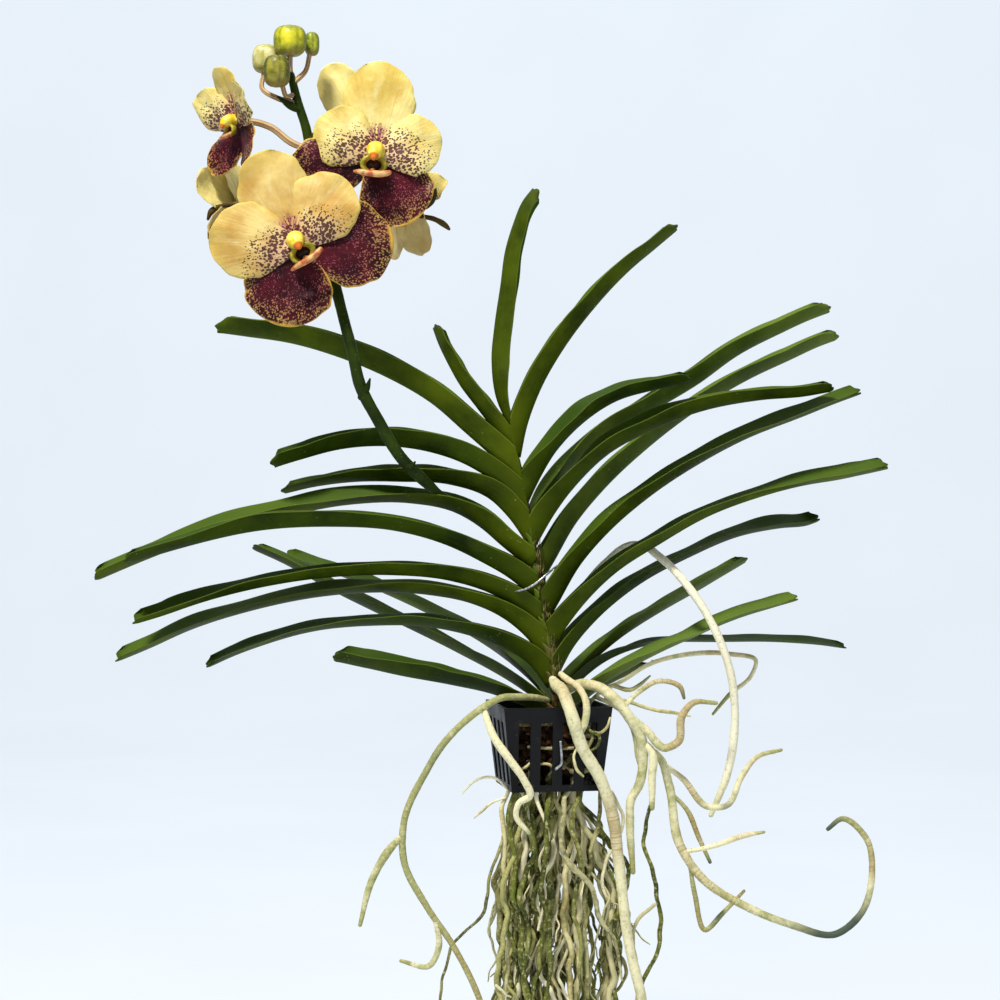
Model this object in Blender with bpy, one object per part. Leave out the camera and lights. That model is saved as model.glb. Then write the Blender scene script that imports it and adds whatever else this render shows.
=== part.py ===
"""A flowering vanda orchid in a square hanging basket, with its aerial roots.

Metres, +Z up. The origin is the middle of the basket's rim, on the rim's top face.
The plant was measured on one photograph. A route or outline is a list of points as the
photograph shows them: pixels across and down, and the depth in millimetres behind the
middle of the basket. seen() turns such a point into metres.
"""
import math
import random

import bmesh
import bpy
import numpy as np
from mathutils import Matrix, Vector

# Where the photograph was taken from
MM = 0.001
PIXEL = 0.6 * MM
EYE = (-28.8 * MM, -1400 * MM, 121.8 * MM)
PHOTO_MIDDLE = 500

# Basket
RIM_SIDE = 65 * MM
FLOOR_SIDE = 54 * MM
BASKET_HEIGHT = 50 * MM
BASKET_TURN = math.radians(10)
WALL = 2.2 * MM
RIM_BAND = 9 * MM
FLOOR_THICK = 2.4 * MM
FOOT_BAND = 4 * MM
SLOT_WIDTH = 7 * MM
SLOTS_A_SIDE = 4
SLOT_PITCH = 13.2 * MM
FLOOR_HOLE = 10 * MM
FLOOR_PITCH = 14.5 * MM
FLOOR_HOLES_A_SIDE = 3

# Plant
GAP = 0.3 * MM
SEAT_GAP = 0.5 * MM
STEM_GAP = 0.65 * MM
LEAF_THICK = 0.9 * MM
LEAF_HALF_WIDTH = 15 * MM
LEAF_SAMPLES = 80
LEAF_STATIONS = (0, 0.08, 0.18, 0.31, 0.46, 0.62, 0.78, 0.92, 1)
LEAF_TAPER = ((0.12, 1), (0.8, 1), (0.93, 0.86), (1, 0.6))
TIP_FROM = 0.9
TIP_NOTCH = (-0.15, 0.28, -0.07, 0.21, -0.11)
FLATTEST = 0.02
STEEPEST = 0.94
STEM_HALF_DEPTH = 5.5 * MM
STEM_CORNERS = (20, 55, 90, 125, 160, 200, 235, 270, 305, 340)
BLADE_THICK = 0.9 * MM

# Stem: pixels across and down, half width in millimetres
STEM = (
    (511, 432, 0.8), (521, 470, 1.0), (529, 515, 1.3), (536, 560, 1.7),
    (542, 605, 2.1), (550, 645, 2.4), (556, 690, 2.7), (557, 725.6, 3.0),
)

# Leaves: keel points from foot to tip with the depth, then how many pixels the near and the
# far margin of the folded blade stand above the keel there, and half the blade's width in mm.
LEAVES = {
    "leaf_left_01": dict(half=12, points=(
        (513, 461, 0, 17, 18), (495, 436, 1, 18, 19), (475, 409, 2, 16, 18), (458, 386, 3, 15, 17),
        (446, 364, 4, 13, 15), (436, 342, 5, 9, 12), (431, 328, 6, 5, 7))),
    "leaf_left_02": dict(half=17, points=(
        (521, 491, 0, 26, 27), (493, 462, 2, 26, 27), (462, 434, 4, 25, 26), (430, 406, 8, 23, 25),
        (385, 380, 12, 24, 26), (340, 361, 15, 23, 26), (290, 346, 16, 21, 24), (245, 339, 16, 17, 20),
        (216, 335, 16, 9, 11))),
    "leaf_left_03": dict(points=(
        (524, 516, 0, 24, 25), (494, 486, 2, 25, 26), (466, 468, 4, 24, 25), (430, 455, 8, 22, 23),
        (390, 449, 10, 20, 22), (345, 451, 12, 17, 21), (300, 462, 13, 12, 18), (274, 470, 14, 6, 8))),
    "leaf_left_04": dict(points=(
        (524, 545, 0, 25, 25), (506, 519, 2, 25, 25), (486, 500, 5, 22, 23), (450, 487, 9, 17, 19),
        (400, 484, 16, 15, 20), (350, 484, 26, 11, 16), (315, 488, 31, 7, 12), (285, 495, 35, 4, 6))),
    "leaf_left_05": dict(points=(
        (527, 570, 0, 22, 22), (499, 547, 1, 21, 21), (478, 529, 2, 21, 22), (455, 515, 4, 16, 20),
        (410, 505, 8, 11, 18), (350, 506, 12, 8, 20), (290, 517, 15, 9, 20), (220, 535, 17, 12, 21),
        (150, 560, 18, 9, 15), (98, 582, 18, 4, 6))),
    "leaf_left_06": dict(points=(
        (530, 600, 0, 25, 25), (508, 581, -2, 24, 24), (480, 564, -5, 20, 20), (445, 547, -9, 18, 18),
        (395, 533, -12, 16, 17), (330, 529, -15, 17, 18), (260, 533, -17, 18, 19), (200, 545, -18, 12, 16),
        (160, 556, -18, 7, 10), (128, 566, -18, 3, 5))),
    "leaf_left_07": dict(points=(
        (534, 629, 0, 25, 25), (512, 609, -1, 23, 23), (490, 596, -1, 20, 20), (450, 583, -3, 17, 17),
        (390, 577, -4, 14, 15), (320, 580, -5, 12, 14), (260, 589, -6, 9, 13), (200, 604, -6, 6, 15),
        (165, 616, -6, 5, 15), (136, 625, -6, 3, 6))),
    "leaf_left_08": dict(points=(
        (540, 660, 0, 25, 25), (522, 637, 1, 23, 23), (500, 619, 2, 19, 19), (470, 605, 3, 14, 15),
        (430, 597, 4, 14, 15), (380, 594, 4, 11, 14), (320, 598, 5, 8, 15), (250, 612, 6, 6, 13),
        (190, 631, 6, 5, 14), (150, 649, 6, 3, 12), (119, 662, 6, 2, 5))),
    "leaf_left_09": dict(half=14, points=(
        (545, 690, 0, 23, 22), (528, 667, 0, 22, 21), (508, 653, 0, 19, 19), (480, 641, 0, 16, 16),
        (430, 629, -1, 13, 13), (370, 627, -2, 9, 11), (320, 631, -2, 6, 11), (265, 645, -2, 4, 11),
        (235, 656, -2, 3, 10), (209, 668, -2, 2, 4))),
    "leaf_left_10": dict(half=12, foot=0.75, points=(
        (551, 712, 2, 10, 3), (518, 688, 19, 12, 4), (455, 653, 50, 12, 10), (390, 621, 74, 11, 13),
        (330, 591, 94, 9, 12), (280, 563, 108, 8, 10), (253, 551, 114, 4, 5))),
    "leaf_left_11": dict(half=12, foot=0.75, points=(
        (550.6, 703, 8, 3, 8), (524, 676, 33, 6, 12), (482, 645, 68, 12, 14), (430, 616, 100, 8, 13),
        (350, 580, 130, 4, 12), (310, 566, 142, 3, 11), (285, 556, 150, 2, 6))),
    "leaf_left_12": dict(half=14, foot=0.75, points=(
        (551, 724, 0, 12, 7), (520, 706, -5, 14, 10), (492, 696, -9, 14, 15), (450, 687, -13, 17, 18),
        (400, 678, -16, 17, 21), (365, 670, -18, 14, 20), (333, 663, -18, 9, 14))),
    "leaf_top": dict(half=13, foot=0.34, upright=True, points=(
        (509, 430, 0, 6, 6), (494, 397, 0, 14, 14), (489, 360, 0, 20.5, 20.5), (492, 325, 1, 20, 20.5),
        (498, 285, 3, 19, 20), (503, 250, 5, 17, 19), (512, 221, 7, 15, 17), (521, 200, 8, 11, 13),
        (532, 186, 9, 5, 6))),
    "leaf_right_01": dict(half=15, foot=0.85, points=(
        (523, 458, 0, 19, 20), (530, 426, 1, 21, 22), (543, 391, 2, 21, 22), (566, 350, 3, 19, 21),
        (595, 311, 4, 17, 19), (632, 271, 5, 14, 16), (660, 247, 7, 9, 11), (679, 231, 8, 4, 5))),
    "leaf_right_02": dict(half=15, points=(
        (529, 509, 0, 24, 24), (540, 485, -2, 24, 24), (560, 450, -5, 13, 21), (590, 420, -8, 11, 22),
        (620, 402, -10, 13, 19), (650, 393, -12, 12, 16), (690, 384, -12, 5, 8))),
    "leaf_right_03": dict(points=(
        (537, 548, 0, 22, 10), (556, 515, -3, 22, 10), (580, 484, -6, 17, 15), (610, 456, -9, 15, 21),
        (650, 434, -12, 15, 22), (700, 414, -13, 14, 18), (760, 402, -14, 12, 15), (805, 398, -14, 9, 12),
        (833, 393, -14, 4, 7))),
    "leaf_right_04": dict(foot=0.45, points=(
        (533, 527, 4, 10, 11), (558, 489, 19, 10, 18), (605, 443, 32, 19, 19), (655, 413, 37, 19, 20),
        (700, 386, 38, 19, 21), (740, 357, 38, 17, 20), (780, 336, 38, 14, 18), (810, 322, 38, 9, 13),
        (831, 314, 38, 3, 6))),
    "leaf_right_05": dict(points=(
        (541, 590, 3, 22, 24), (557, 562, 10, 20, 23), (578, 525, 14, 20, 21), (605, 492, 16, 20, 20),
        (650, 449, 20, 15, 18), (700, 411, 22, 15, 17), (750, 381, 23, 14, 16), (790, 362, 23, 12, 15),
        (820, 348, 23, 7, 11), (839, 341, 23, 3, 5))),
    "leaf_right_06": dict(points=(
        (547, 630, 0, 26, 25), (562, 603, -2, 25, 24), (582, 567, -4, 19, 20), (610, 534, -7, 15, 20),
        (650, 499, -9, 13, 17), (700, 465, -10, 9, 15), (750, 438, -10, 5, 14), (800, 418, -10, 3, 13),
        (840, 402, -10, 2, 9), (860, 395, -10, 1, 4))),
    "leaf_right_07": dict(points=(
        (552, 657, 0, 24, 23), (566, 633, -3, 23, 22), (583, 609, -6, 19, 18), (615, 576, -9, 14, 15),
        (660, 546, -12, 12, 14), (710, 517, -13, 9, 12), (760, 498, -13, 7, 11), (800, 487, -13, 5, 13),
        (840, 480, -12, 4, 15), (868, 474, -12, 3, 13), (887, 470, -12, 2, 5))),
    "leaf_right_08": dict(half=14, points=(
        (559, 680, 0, 18, 21), (575, 649, 4, 15, 19), (600, 619, 9, 13, 16), (640, 586, 11, 11, 13),
        (690, 558, 13, 7, 10), (740, 537, 14, 6, 12), (780, 529, 15, 5, 14), (808, 526, 15, 4, 10),
        (819, 522, 15, 2, 4))),
    "leaf_right_09": dict(half=12, foot=0.75, points=(
        (561, 694, 4, 10, 11), (590, 666, 28, 11, 14), (622, 639, 44, 12, 13), (660, 614, 60, 10, 12),
        (700, 591, 76, 9, 12), (730, 573, 86, 8, 11), (747, 563, 90, 4, 5))),
    "leaf_right_10": dict(half=13, foot=0.75, points=(
        (563, 714, -1, 13, 6), (600, 688, -2, 12, 10), (640, 664, -2, 8, 12), (690, 639, -2, 4, 9),
        (740, 618, -2, 4, 11), (775, 607, -2, 3, 9), (797, 601, -2, 1, 3))),
    "leaf_right_11": dict(half=12, foot=0.75, points=(
        (562, 704, 3, 10, 5), (583, 680, 20, 11, 4), (608, 661, 32, 9, 4), (648, 646, 42, 6, 5),
        (720, 642, 48, 3, 6), (790, 643, 50, 4, 7), (825, 646, 50, 3, 6), (844, 649, 50, 1, 3))),
    "leaf_right_12": dict(half=11, foot=0.75, points=(
        (563, 722, 6, 3, 6), (577, 708, 19, 4, 9), (592, 695.8, 32, 7, 11), (624, 678, 46, 8, 9),
        (652, 666, 60, 5, 5))),
}

# Roots: points with depth and the root's thickness in pixels
ROOTS = {
    "root_main": (
        ((553, 680, -6.2, 9), (557, 686, -20, 12), (563, 692, -34, 12.5), (570, 710, -40, 12.5),
         (583, 749, -38, 12.5), (599, 776, -34, 12), (611, 809, -30, 12), (619, 864, -28, 11),
         (629, 944, -27, 10), (642, 1000, -26, 10), (650, 1050, -25, 9), (652, 1100, -24, 8),
         (649, 1150, -24, 4)),
        ((561, 674, -9.5, 6), (568, 680, -22, 6.5), (579, 688, -32, 7), (586, 702, -37.5, 7),
         (585, 722, -38.5, 7), (578, 738, -38.5, 6)),
    ),
    "root_left": (
        ((547, 700, -12.8, 6), (538, 698, -17.8, 6.5), (519, 697, -27, 7), (501, 698, -34, 7),
         (484, 707, -39, 7),
         (462, 724, -40, 7), (441, 747, -41, 7), (427, 770, -41, 7), (404, 822, -40, 7),
         (404, 861, -39, 7), (427, 907, -38, 6.5), (452, 944, -37, 6), (475, 988, -36, 6),
         (492, 1040, -35, 5.5), (498, 1090, -34, 3)),
        ((402, 836, -40, 5), (395, 843, -40, 7), (372, 880, -42, 7), (360, 925, -44, 4)),
        ((436, 922, -38, 5), (439, 946, -37, 6), (429, 966, -36, 6), (401, 961, -36, 3.5)),
        ((483, 708, -38, 6), (495, 739, -44, 8), (510, 760, -45, 8), (524, 780, -44, 7.5),
         (530, 796, -42, 7), (519, 803, -41, 6), (516, 815, -40, 6), (529, 833, -38, 4)),
    ),
    "root_right": (
        ((562, 692, -7.3, 9), (584, 684, -19, 10.5), (600, 688, -24, 11), (615, 699, -28, 11),
         (627, 714, -29, 11), (641, 738, -27, 10.5), (643, 760, -25, 10), (639, 785, -24, 9),
         (631, 800, -24, 8.5), (630, 820, -23, 8.5), (633, 872, -22, 5)),
        ((630, 717, -28, 8), (646, 730, -30, 8), (665, 748, -31, 8), (678, 742, -32, 8),
         (682, 716, -33, 7.5), (693, 703, -34, 6), (716, 703, -34, 4)),
        ((641, 742, -26, 8), (650, 749, -27, 8), (652, 780, -26, 8), (652, 808, -25, 5)),
        ((643, 745, -24, 6), (660, 758, -20, 8), (669, 785, -19, 8.5), (680, 845, -20, 9),
         (701, 877, -22, 8.5), (747, 907, -25, 8), (792, 925, -27, 7.5), (836, 934, -28, 7),
         (860, 915, -28, 7), (872, 873, -28, 6.5), (866, 838, -28, 6), (841, 819, -28, 5.5),
         (828, 829, -28, 4)),
        ((662, 763, -20, 5), (682, 778, -20, 6), (709, 807, -20, 6.5), (726, 806, -20, 6),
         (742, 776, -19, 6), (757, 757, -18, 5), (781, 750, -18, 3.5)),
        ((671, 793, -19, 4), (687, 810, -15, 5), (699, 838, -13, 5), (710, 862, -12, 3.5)),
        ((683, 852, -20, 4), (710, 847, -25, 5), (747, 835, -29, 5), (764, 832, -30, 3)),
        ((690, 866, -21, 4), (695, 895, -16, 5), (706, 930, -13, 5), (722, 914, -12, 5),
         (744, 891, -12, 3)),
        ((622, 709, -28, 5), (639, 692, -22, 5), (660, 681, -17, 5), (681, 688, -16, 5),
         (684, 698, -16, 3)),
    ),
    "root_white": (
        ((550, 640, 6.2, 5), (556, 632, 9, 5), (566, 618, 12, 5.5), (582, 590, 13, 7), (605, 563, 12, 7.5),
         (632, 545, 10, 8), (645, 546, 7, 8), (656, 554, 0, 8), (668, 564, -8, 8),
         (682, 579, -13, 8), (710, 620, -18.5, 8), (731, 675, -18.5, 8), (735, 715, -16, 8),
         (727, 775, -14, 8), (711, 815, -12, 5)),
    ),
    "root_thin": (
        ((585, 716, 10, 3.5), (592, 700, 11, 4), (601, 692, 13, 4), (622, 681, 17, 4.5),
         (650, 664, 20, 4.5), (690, 654, 20, 5),
         (730, 654, 19, 5), (756, 661, 18, 4.5), (751, 676, 18, 4.5), (730, 694, 18, 4.5),
         (713, 714, 18, 3)),
    ),
}

ROOT_SPACING = 11 * MM
ROOT_SIDES = 5

# Curtain of roots below the basket: the number of strands and how they hang
CURTAIN_COUNT = 22
CURTAIN_TOP = -34 * MM
CURTAIN_LENGTH = (170, 255)
CURTAIN_ACROSS = (-32, 42)
CURTAIN_DEEP = 17
CURTAIN_RADIUS = (1.4, 2.0)
CURTAIN_WAVER = 5.5
CURTAIN_STEPS = (0.12, 0.25, 0.4, 0.55, 0.7, 0.85, 1)
CURTAIN_SPREAD_BY = 0.25
CURTAIN_ROW_JITTER = 4
STRAND_ROWS = 12
STRAND_SIDES = 4
STRAND_TIP = 0.4
CORE_TOP = -14 * MM
SEED = 7

# Flower spike: points with depth and thickness in pixels
SPIKE = (
    (531, 560, 0, 3), (522, 553, 0, 3.8), (508, 541, 0.6, 5), (494, 530, 1, 6), (478, 516, 2, 7.2),
    (455, 503, 3, 8.5), (440, 495, -1, 9), (430, 486, -8, 10.5), (420, 477, -13, 12),
    (403, 460, -17, 12), (378, 420, -18, 12), (360, 385, -18, 12), (353, 355, -18, 11.5),
    (344, 320, -15, 11), (334, 280, -11, 11), (322, 225, -5, 10), (312, 170, -1, 10),
    (306, 128, 0, 9.5), (298, 103, -1, 9), (291, 75, -2, 7.5),
)
BRACTS = (
    ((361, 397, -18, 7), (366, 390, -20, 7), (370, 379, -22, 2)),
    ((405, 466, -17, 6), (411, 467, -20, 6), (415, 462, -22, 2)),
    ((303, 112, -1, 5), (291, 106, -4, 8), (278, 97, -6, 2)),
    ((310, 140, 0, 5), (318, 132, -1, 8), (322, 120, -2, 2)),
)

SPIKE_SPACING = 14 * MM
BRACT_SPACING = 4 * MM

# Buds: middle with depth, width and height in pixels, and the stalk that reaches it
BUDS = {
    "bud_top": dict(at=(290, 41, -2), size=(33, 31), stalk=((291, 80, -2, 6), (290, 68, -2, 5))),
    "bud_right": dict(at=(312, 44, 9), size=(15, 24), stalk=((294, 82, -2, 6), (306, 70, 5, 4.5))),
    "bud_left": dict(at=(266, 59, 5), size=(28, 29),
                     stalk=((300, 104, -1, 6), (277, 98, -2, 5.5), (262, 88, 1, 4.5))),
    "bud_low": dict(at=(277, 71, -11), size=(27, 32), stalk=((296, 94, -1, 6), (286, 96, -6, 4.5))),
}

# Blooms: where the middle stands and which way it faces, then each blade's direction in
# degrees, its length and its width in millimetres: upper sepal, two petals, two lateral
# sepals. cup is how far the tips stand forward, and stalk is what reaches the bloom.
BLOOMS = {
    "bloom_1": dict(
        at=(298, 244, -38), faces=(0, -1, 0), cup=5,
        blades=((114, 58, 43), (55, 47, 43), (177, 52, 45), (0, 56, 51), (-102, 49, 53)),
        stalk=((328, 250, -8, 6), (316, 245, -17, 5.5))),
    "bloom_2": dict(
        at=(376, 155, -28), faces=(0, -1, 0), cup=5,
        blades=((87, 55, 43), (15, 40, 37), (152, 40, 37), (-62, 45, 46), (194, 53, 38)),
        stalk=((311, 165, -1, 6), (340, 156, -6, 5))),
    "bloom_3": dict(
        at=(238, 122, -9), faces=(-0.8, -0.58, -0.12), cup=14,
        blades=((92, 33, 27), (30, 32, 26), (150, 33, 26), (-52, 34, 28), (-128, 35, 28)),
        stalk=((309, 150, 0, 6), (292, 143, 0, 7), (270, 127, 0, 7))),
    "bloom_4": dict(
        at=(240, 205, 22), faces=(-0.85, 0.5, -0.1), cup=12,
        blades=((90, 33, 24), (28, 34, 26), (152, 34, 26), (-52, 32, 28), (-128, 32, 28)),
        stalk=((317, 210, -4, 6), (290, 207, 4, 5), (268, 207, 8, 5.5))),
    "bloom_5": dict(
        at=(362, 128, 30), faces=(0.05, 1, 0.15), cup=6,
        blades=((61, 44, 28), (-5, 26, 24), (128, 34, 30), (-68, 34, 34), (215, 34, 34)),
        stalk=((308, 142, 0, 6), (330, 136, 5, 5))),
    "bloom_6": dict(
        at=(404, 200, 24), faces=(0.75, 0.62, -0.1), cup=12,
        blades=((88, 32, 17), (24, 28, 21), (156, 28, 21), (-62, 38, 26), (-118, 38, 26)),
        stalk=((320, 220, -4, 6), (350, 214, 4, 5), (380, 204, 10, 5.5))),
}
PETAL_STATIONS = (0, 0.26, 0.58, 0.85, 1)
PETAL_WIDTHS = (0.3, 0.74, 1.0, 0.76, 0.28)
PETAL_BEND = (0, 0.04, 0.06, -0.04, 0)
PETAL_CURL = 0.04
UPPER_SEPAL_HEIGHT = -0.5 * MM
PETAL_HEIGHT = 0.62 * MM
LOWER_SEPAL_HEIGHT = -2.25 * MM
HUB_RADIUS = 3.6 * MM
HUB_SIDES = 9
YELLOW = (-1.0 * MM, 2.2 * MM)
DARK = (-3.0 * MM, -1.5 * MM)
COLUMN_LENGTH = 10 * MM
COLUMN_RADIUS = 3.4 * MM
# Pouch of the lip: down, ahead of the hub and radius, in millimetres
POUCH = ((-1, 3.4, 2.2), (-6, 6, 3.4), (-9, 10, 3.4), (-12, 15, 1.4))

# Wires: the hook on a front slat and the tie round the stem
WIRES = {
    "wire_hook": dict(thick=1.7 * MM, places=(
        (560.6, 742, -30.8), (561.5, 755, -30.2), (561, 764, -29.8), (556, 769, -29.6))),
    "tie_wire": dict(thick=1.2 * MM, places=(
        (510, 590, -0.4), (520, 590, -3.1), (530, 585, -5.0), (540, 578, -5.4), (550, 571, -3.0),
        (557, 567, 1))),
}
WIRE_ROWS = 8
WIRE_SIDES = 6

# Colours
COLOURS = {
    "leaf": ((0.07, 0.16, 0.015), 0.42), "stem": ((0.16, 0.13, 0.05), 0.75),
    "root": ((0.68, 0.66, 0.42), 0.75), "curtain": ((0.22, 0.24, 0.08), 0.8),
    "basket": ((0.012, 0.012, 0.016), 0.45), "wire": ((0.35, 0.35, 0.36), 0.35),
    "yellow": ((0.78, 0.58, 0.2), 0.5), "dark": ((0.1, 0.012, 0.04), 0.5),
    "lip": ((0.75, 0.5, 0.06), 0.45), "bud": ((0.42, 0.46, 0.08), 0.45),
}


def clear_scene():
    """Start from an empty scene."""
    for obj in list(bpy.data.objects):
        bpy.data.objects.remove(obj, do_unlink=True)


def material(name):
    """The plain material of one kind of part."""
    found = bpy.data.materials.get(name)
    if found:
        return found
    colour, rough = COLOURS[name]
    made = bpy.data.materials.new(name)
    made.use_nodes = True
    shader = made.node_tree.nodes["Principled BSDF"]
    shader.inputs["Base Color"].default_value = (*colour, 1)
    shader.inputs["Roughness"].default_value = rough
    shader.inputs["Metallic"].default_value = 1.0 if name == "wire" else 0.0
    return made


def seen(across, down, depth=0.0):
    """The place in metres that the photograph shows at a pixel, depth millimetres back."""
    spread = PIXEL * (depth * MM - EYE[1]) / -EYE[1]
    return (EYE[0] + (across - PHOTO_MIDDLE) * spread, depth * MM,
            EYE[2] + (PHOTO_MIDDLE - down) * spread)


def smooth(rows, count):
    """count rows, evenly spaced along a smooth curve through the given rows."""
    rows = np.array(rows, float)
    steps = np.linalg.norm(np.diff(rows[:, :3], axis=0), axis=1)
    knots = np.concatenate([[0], np.cumsum(steps)])
    slopes = np.gradient(rows, knots, axis=0)
    where = np.linspace(0, knots[-1], count)
    i = np.clip(np.searchsorted(knots, where, side="right") - 1, 0, len(knots) - 2)
    span = (knots[i + 1] - knots[i])[:, None]
    u = (where - knots[i])[:, None] / span
    start = (2 * u**3 - 3 * u**2 + 1) * rows[i] + (u**3 - 2 * u**2 + u) * span * slopes[i]
    end = (3 * u**2 - 2 * u**3) * rows[i + 1] + (u**3 - u**2) * span * slopes[i + 1]
    return start + end


def unit(vectors):
    """Each row scaled to length one."""
    return vectors / np.linalg.norm(vectors, axis=-1, keepdims=True)


def add_object(name, mesh, look, flat=False):
    """Put a mesh in the scene as a named object."""
    mesh.materials.append(material(look))
    if not flat:
        mesh.shade_smooth()
    obj = bpy.data.objects.new(name, mesh)
    bpy.context.scene.collection.objects.link(obj)
    return obj


def mesh_from(name, points, faces):
    """A closed mesh with its faces turned outwards."""
    mesh = bpy.data.meshes.new(name)
    mesh.from_pydata([tuple(p) for p in points], [], faces)
    work = bmesh.new()
    work.from_mesh(mesh)
    bmesh.ops.recalc_face_normals(work, faces=work.faces)
    work.to_mesh(mesh)
    work.free()
    return mesh


def split_quad(a, b, c, d):
    """Two triangles in place of a four-sided face."""
    return [(a, b, c), (a, c, d)]


def shell(name, front, back):
    """A thin closed blade between two grids of points with alike triangles."""
    rows, columns = front.shape[:2]
    points = np.concatenate([front.reshape(-1, 3), back.reshape(-1, 3)])
    other = rows * columns

    def at(row, column):
        return row * columns + column

    faces = []
    for row in range(rows - 1):
        for column in range(columns - 1):
            corners = (at(row, column), at(row + 1, column), at(row + 1, column + 1), at(row, column + 1))
            for face in split_quad(*corners):
                faces.append(face)
                faces.append(tuple(i + other for i in reversed(face)))
    edge = [at(0, c) for c in range(columns)]
    edge += [at(r, columns - 1) for r in range(1, rows)]
    edge += [at(rows - 1, c) for c in range(columns - 2, -1, -1)]
    edge += [at(r, 0) for r in range(rows - 2, 0, -1)]
    for i, this in enumerate(edge):
        following = edge[(i + 1) % len(edge)]
        faces += split_quad(this, following, following + other, this + other)
    return mesh_from(name, points, faces)


def tube(name, rows, sides):
    """A round stalk or root along rows of place and radius."""
    rows = np.array(rows)
    places, radii = rows[:, :3], rows[:, 3]
    along = unit(np.gradient(places, axis=0))
    side = np.cross(along[0], (0, 0, 1) if abs(along[0][2]) < 0.9 else (0, 1, 0))
    points, faces = [], []
    for place, radius, way in zip(places, radii, along):
        side = unit(side - np.dot(side, way) * way)
        other = np.cross(way, side)
        for k in range(sides):
            turn = 2 * math.pi * k / sides
            points.append(place + radius * (math.cos(turn) * side + math.sin(turn) * other))
    last = len(rows) - 1
    for row in range(last):
        for k in range(sides):
            after = (k + 1) % sides
            faces += split_quad(row * sides + k, row * sides + after,
                                (row + 1) * sides + after, (row + 1) * sides + k)
    faces.append(tuple(range(sides)))
    faces.append(tuple(last * sides + k for k in range(sides)))
    return mesh_from(name, points, faces)


def joined(name, meshes, look):
    """One closed body from meshes that run into each other."""
    first, rest = meshes[0], meshes[1:]
    obj = add_object(name, first, look)
    if not rest:
        return obj
    group = bpy.data.collections.new(name + "_pieces")
    bpy.context.scene.collection.children.link(group)
    for mesh in rest:
        group.objects.link(bpy.data.objects.new(mesh.name, mesh))
    union = obj.modifiers.new("join", "BOOLEAN")
    union.operation = "UNION"
    union.operand_type = "COLLECTION"
    union.collection = group
    union.solver = "MANIFOLD"
    graph = bpy.context.evaluated_depsgraph_get()
    graph.update()
    whole = bpy.data.meshes.new_from_object(obj.evaluated_get(graph))
    obj.modifiers.remove(union)
    obj.data = whole
    for piece in list(group.objects):
        bpy.data.objects.remove(piece, do_unlink=True)
    bpy.data.collections.remove(group)
    return obj


def stem_side(height, side):
    """Where the stem's left (-1) or right (+1) face is at a height."""
    places = [seen(across, down) for across, down, _ in STEM]
    heights = [place[2] for place in places][::-1]
    middle = np.interp(height, heights, [place[0] for place in places][::-1])
    half = np.interp(height, heights, [half * MM for _, _, half in STEM][::-1])
    return middle + side * (half + STEM_GAP)


def leaf_grid(points, half, foot, side, samples):
    """The outer and inner face of a folded leaf, foot to tip, near margin to far margin."""
    rows = smooth([(*seen(*place), near * PIXEL, far * PIXEL) for *place, near, far in points], samples)
    keel, near, far = rows[:, :3], rows[:, 3:4], rows[:, 4:5]
    along = unit(np.gradient(keel, axis=0))
    up = unit(np.cross((0, 1, 0), along)) * -side
    back = np.cross(along, up)
    back *= np.sign(back[:, 1:2])
    t = np.linspace(0, 1, samples)[:, None]
    width = half * np.interp(t, *zip((0, foot), *LEAF_TAPER))
    near, far = (np.arcsin(np.clip(rise / width, FLATTEST, STEEPEST)) for rise in (near, far))
    outer, inner = [], []
    spread = np.sin(near + far)
    apex = (back * (np.cos(far) - np.cos(near)) + up * (np.sin(near) + np.sin(far))) / spread
    for share in (-1, -0.5, 0, 0.5, 1):
        angle, turn = (near, -1) if share < 0 else (far, 1)
        out = back * turn * np.cos(angle) + up * np.sin(angle)
        inward = up * np.cos(angle) - back * turn * np.sin(angle)
        place = keel + abs(share) * width * out
        outer.append(place)
        inner.append(place + LEAF_THICK * (inward if share else apex))
    outer, inner = np.array(outer), np.array(inner)
    reach = half * np.array(TIP_NOTCH)[:, None, None]
    fade = np.clip((t[:, 0] - TIP_FROM) / (1 - TIP_FROM), 0, 1)[None, :, None]
    shift = reach * fade * along[None]
    return outer + shift, inner + shift


def trimmed(column, side, upright):
    """A leaf's lengthwise line from where it meets the stem."""
    if upright:
        return column
    clear = side * (column[:, 0] - stem_side(column[:, 2], side))
    within = np.nonzero(clear[:len(clear) // 2] < 0)[0]
    if not len(within):
        return column
    last = within[-1]
    part = -clear[last] / (clear[last + 1] - clear[last])
    start = column[last] * (1 - part) + column[last + 1] * part
    return np.concatenate([start[None], column[last + 1:]])


def leaf(name, points, half=LEAF_HALF_WIDTH / MM, foot=1.06, upright=False):
    """One strap leaf, folded along its keel, notched at the tip."""
    side = 1 if "right" in name else -1
    grids = []
    for face in leaf_grid(points, half * MM, foot, side, LEAF_SAMPLES):
        lines = []
        for column in face:
            line = trimmed(column, side, upright)
            spot = np.linspace(0, 1, len(line))
            lines.append(np.stack([np.interp(LEAF_STATIONS, spot, line[:, k]) for k in range(3)], 1))
        grids.append(np.stack(lines, 1))
    add_object(name, shell(name, *grids), "leaf")


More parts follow.
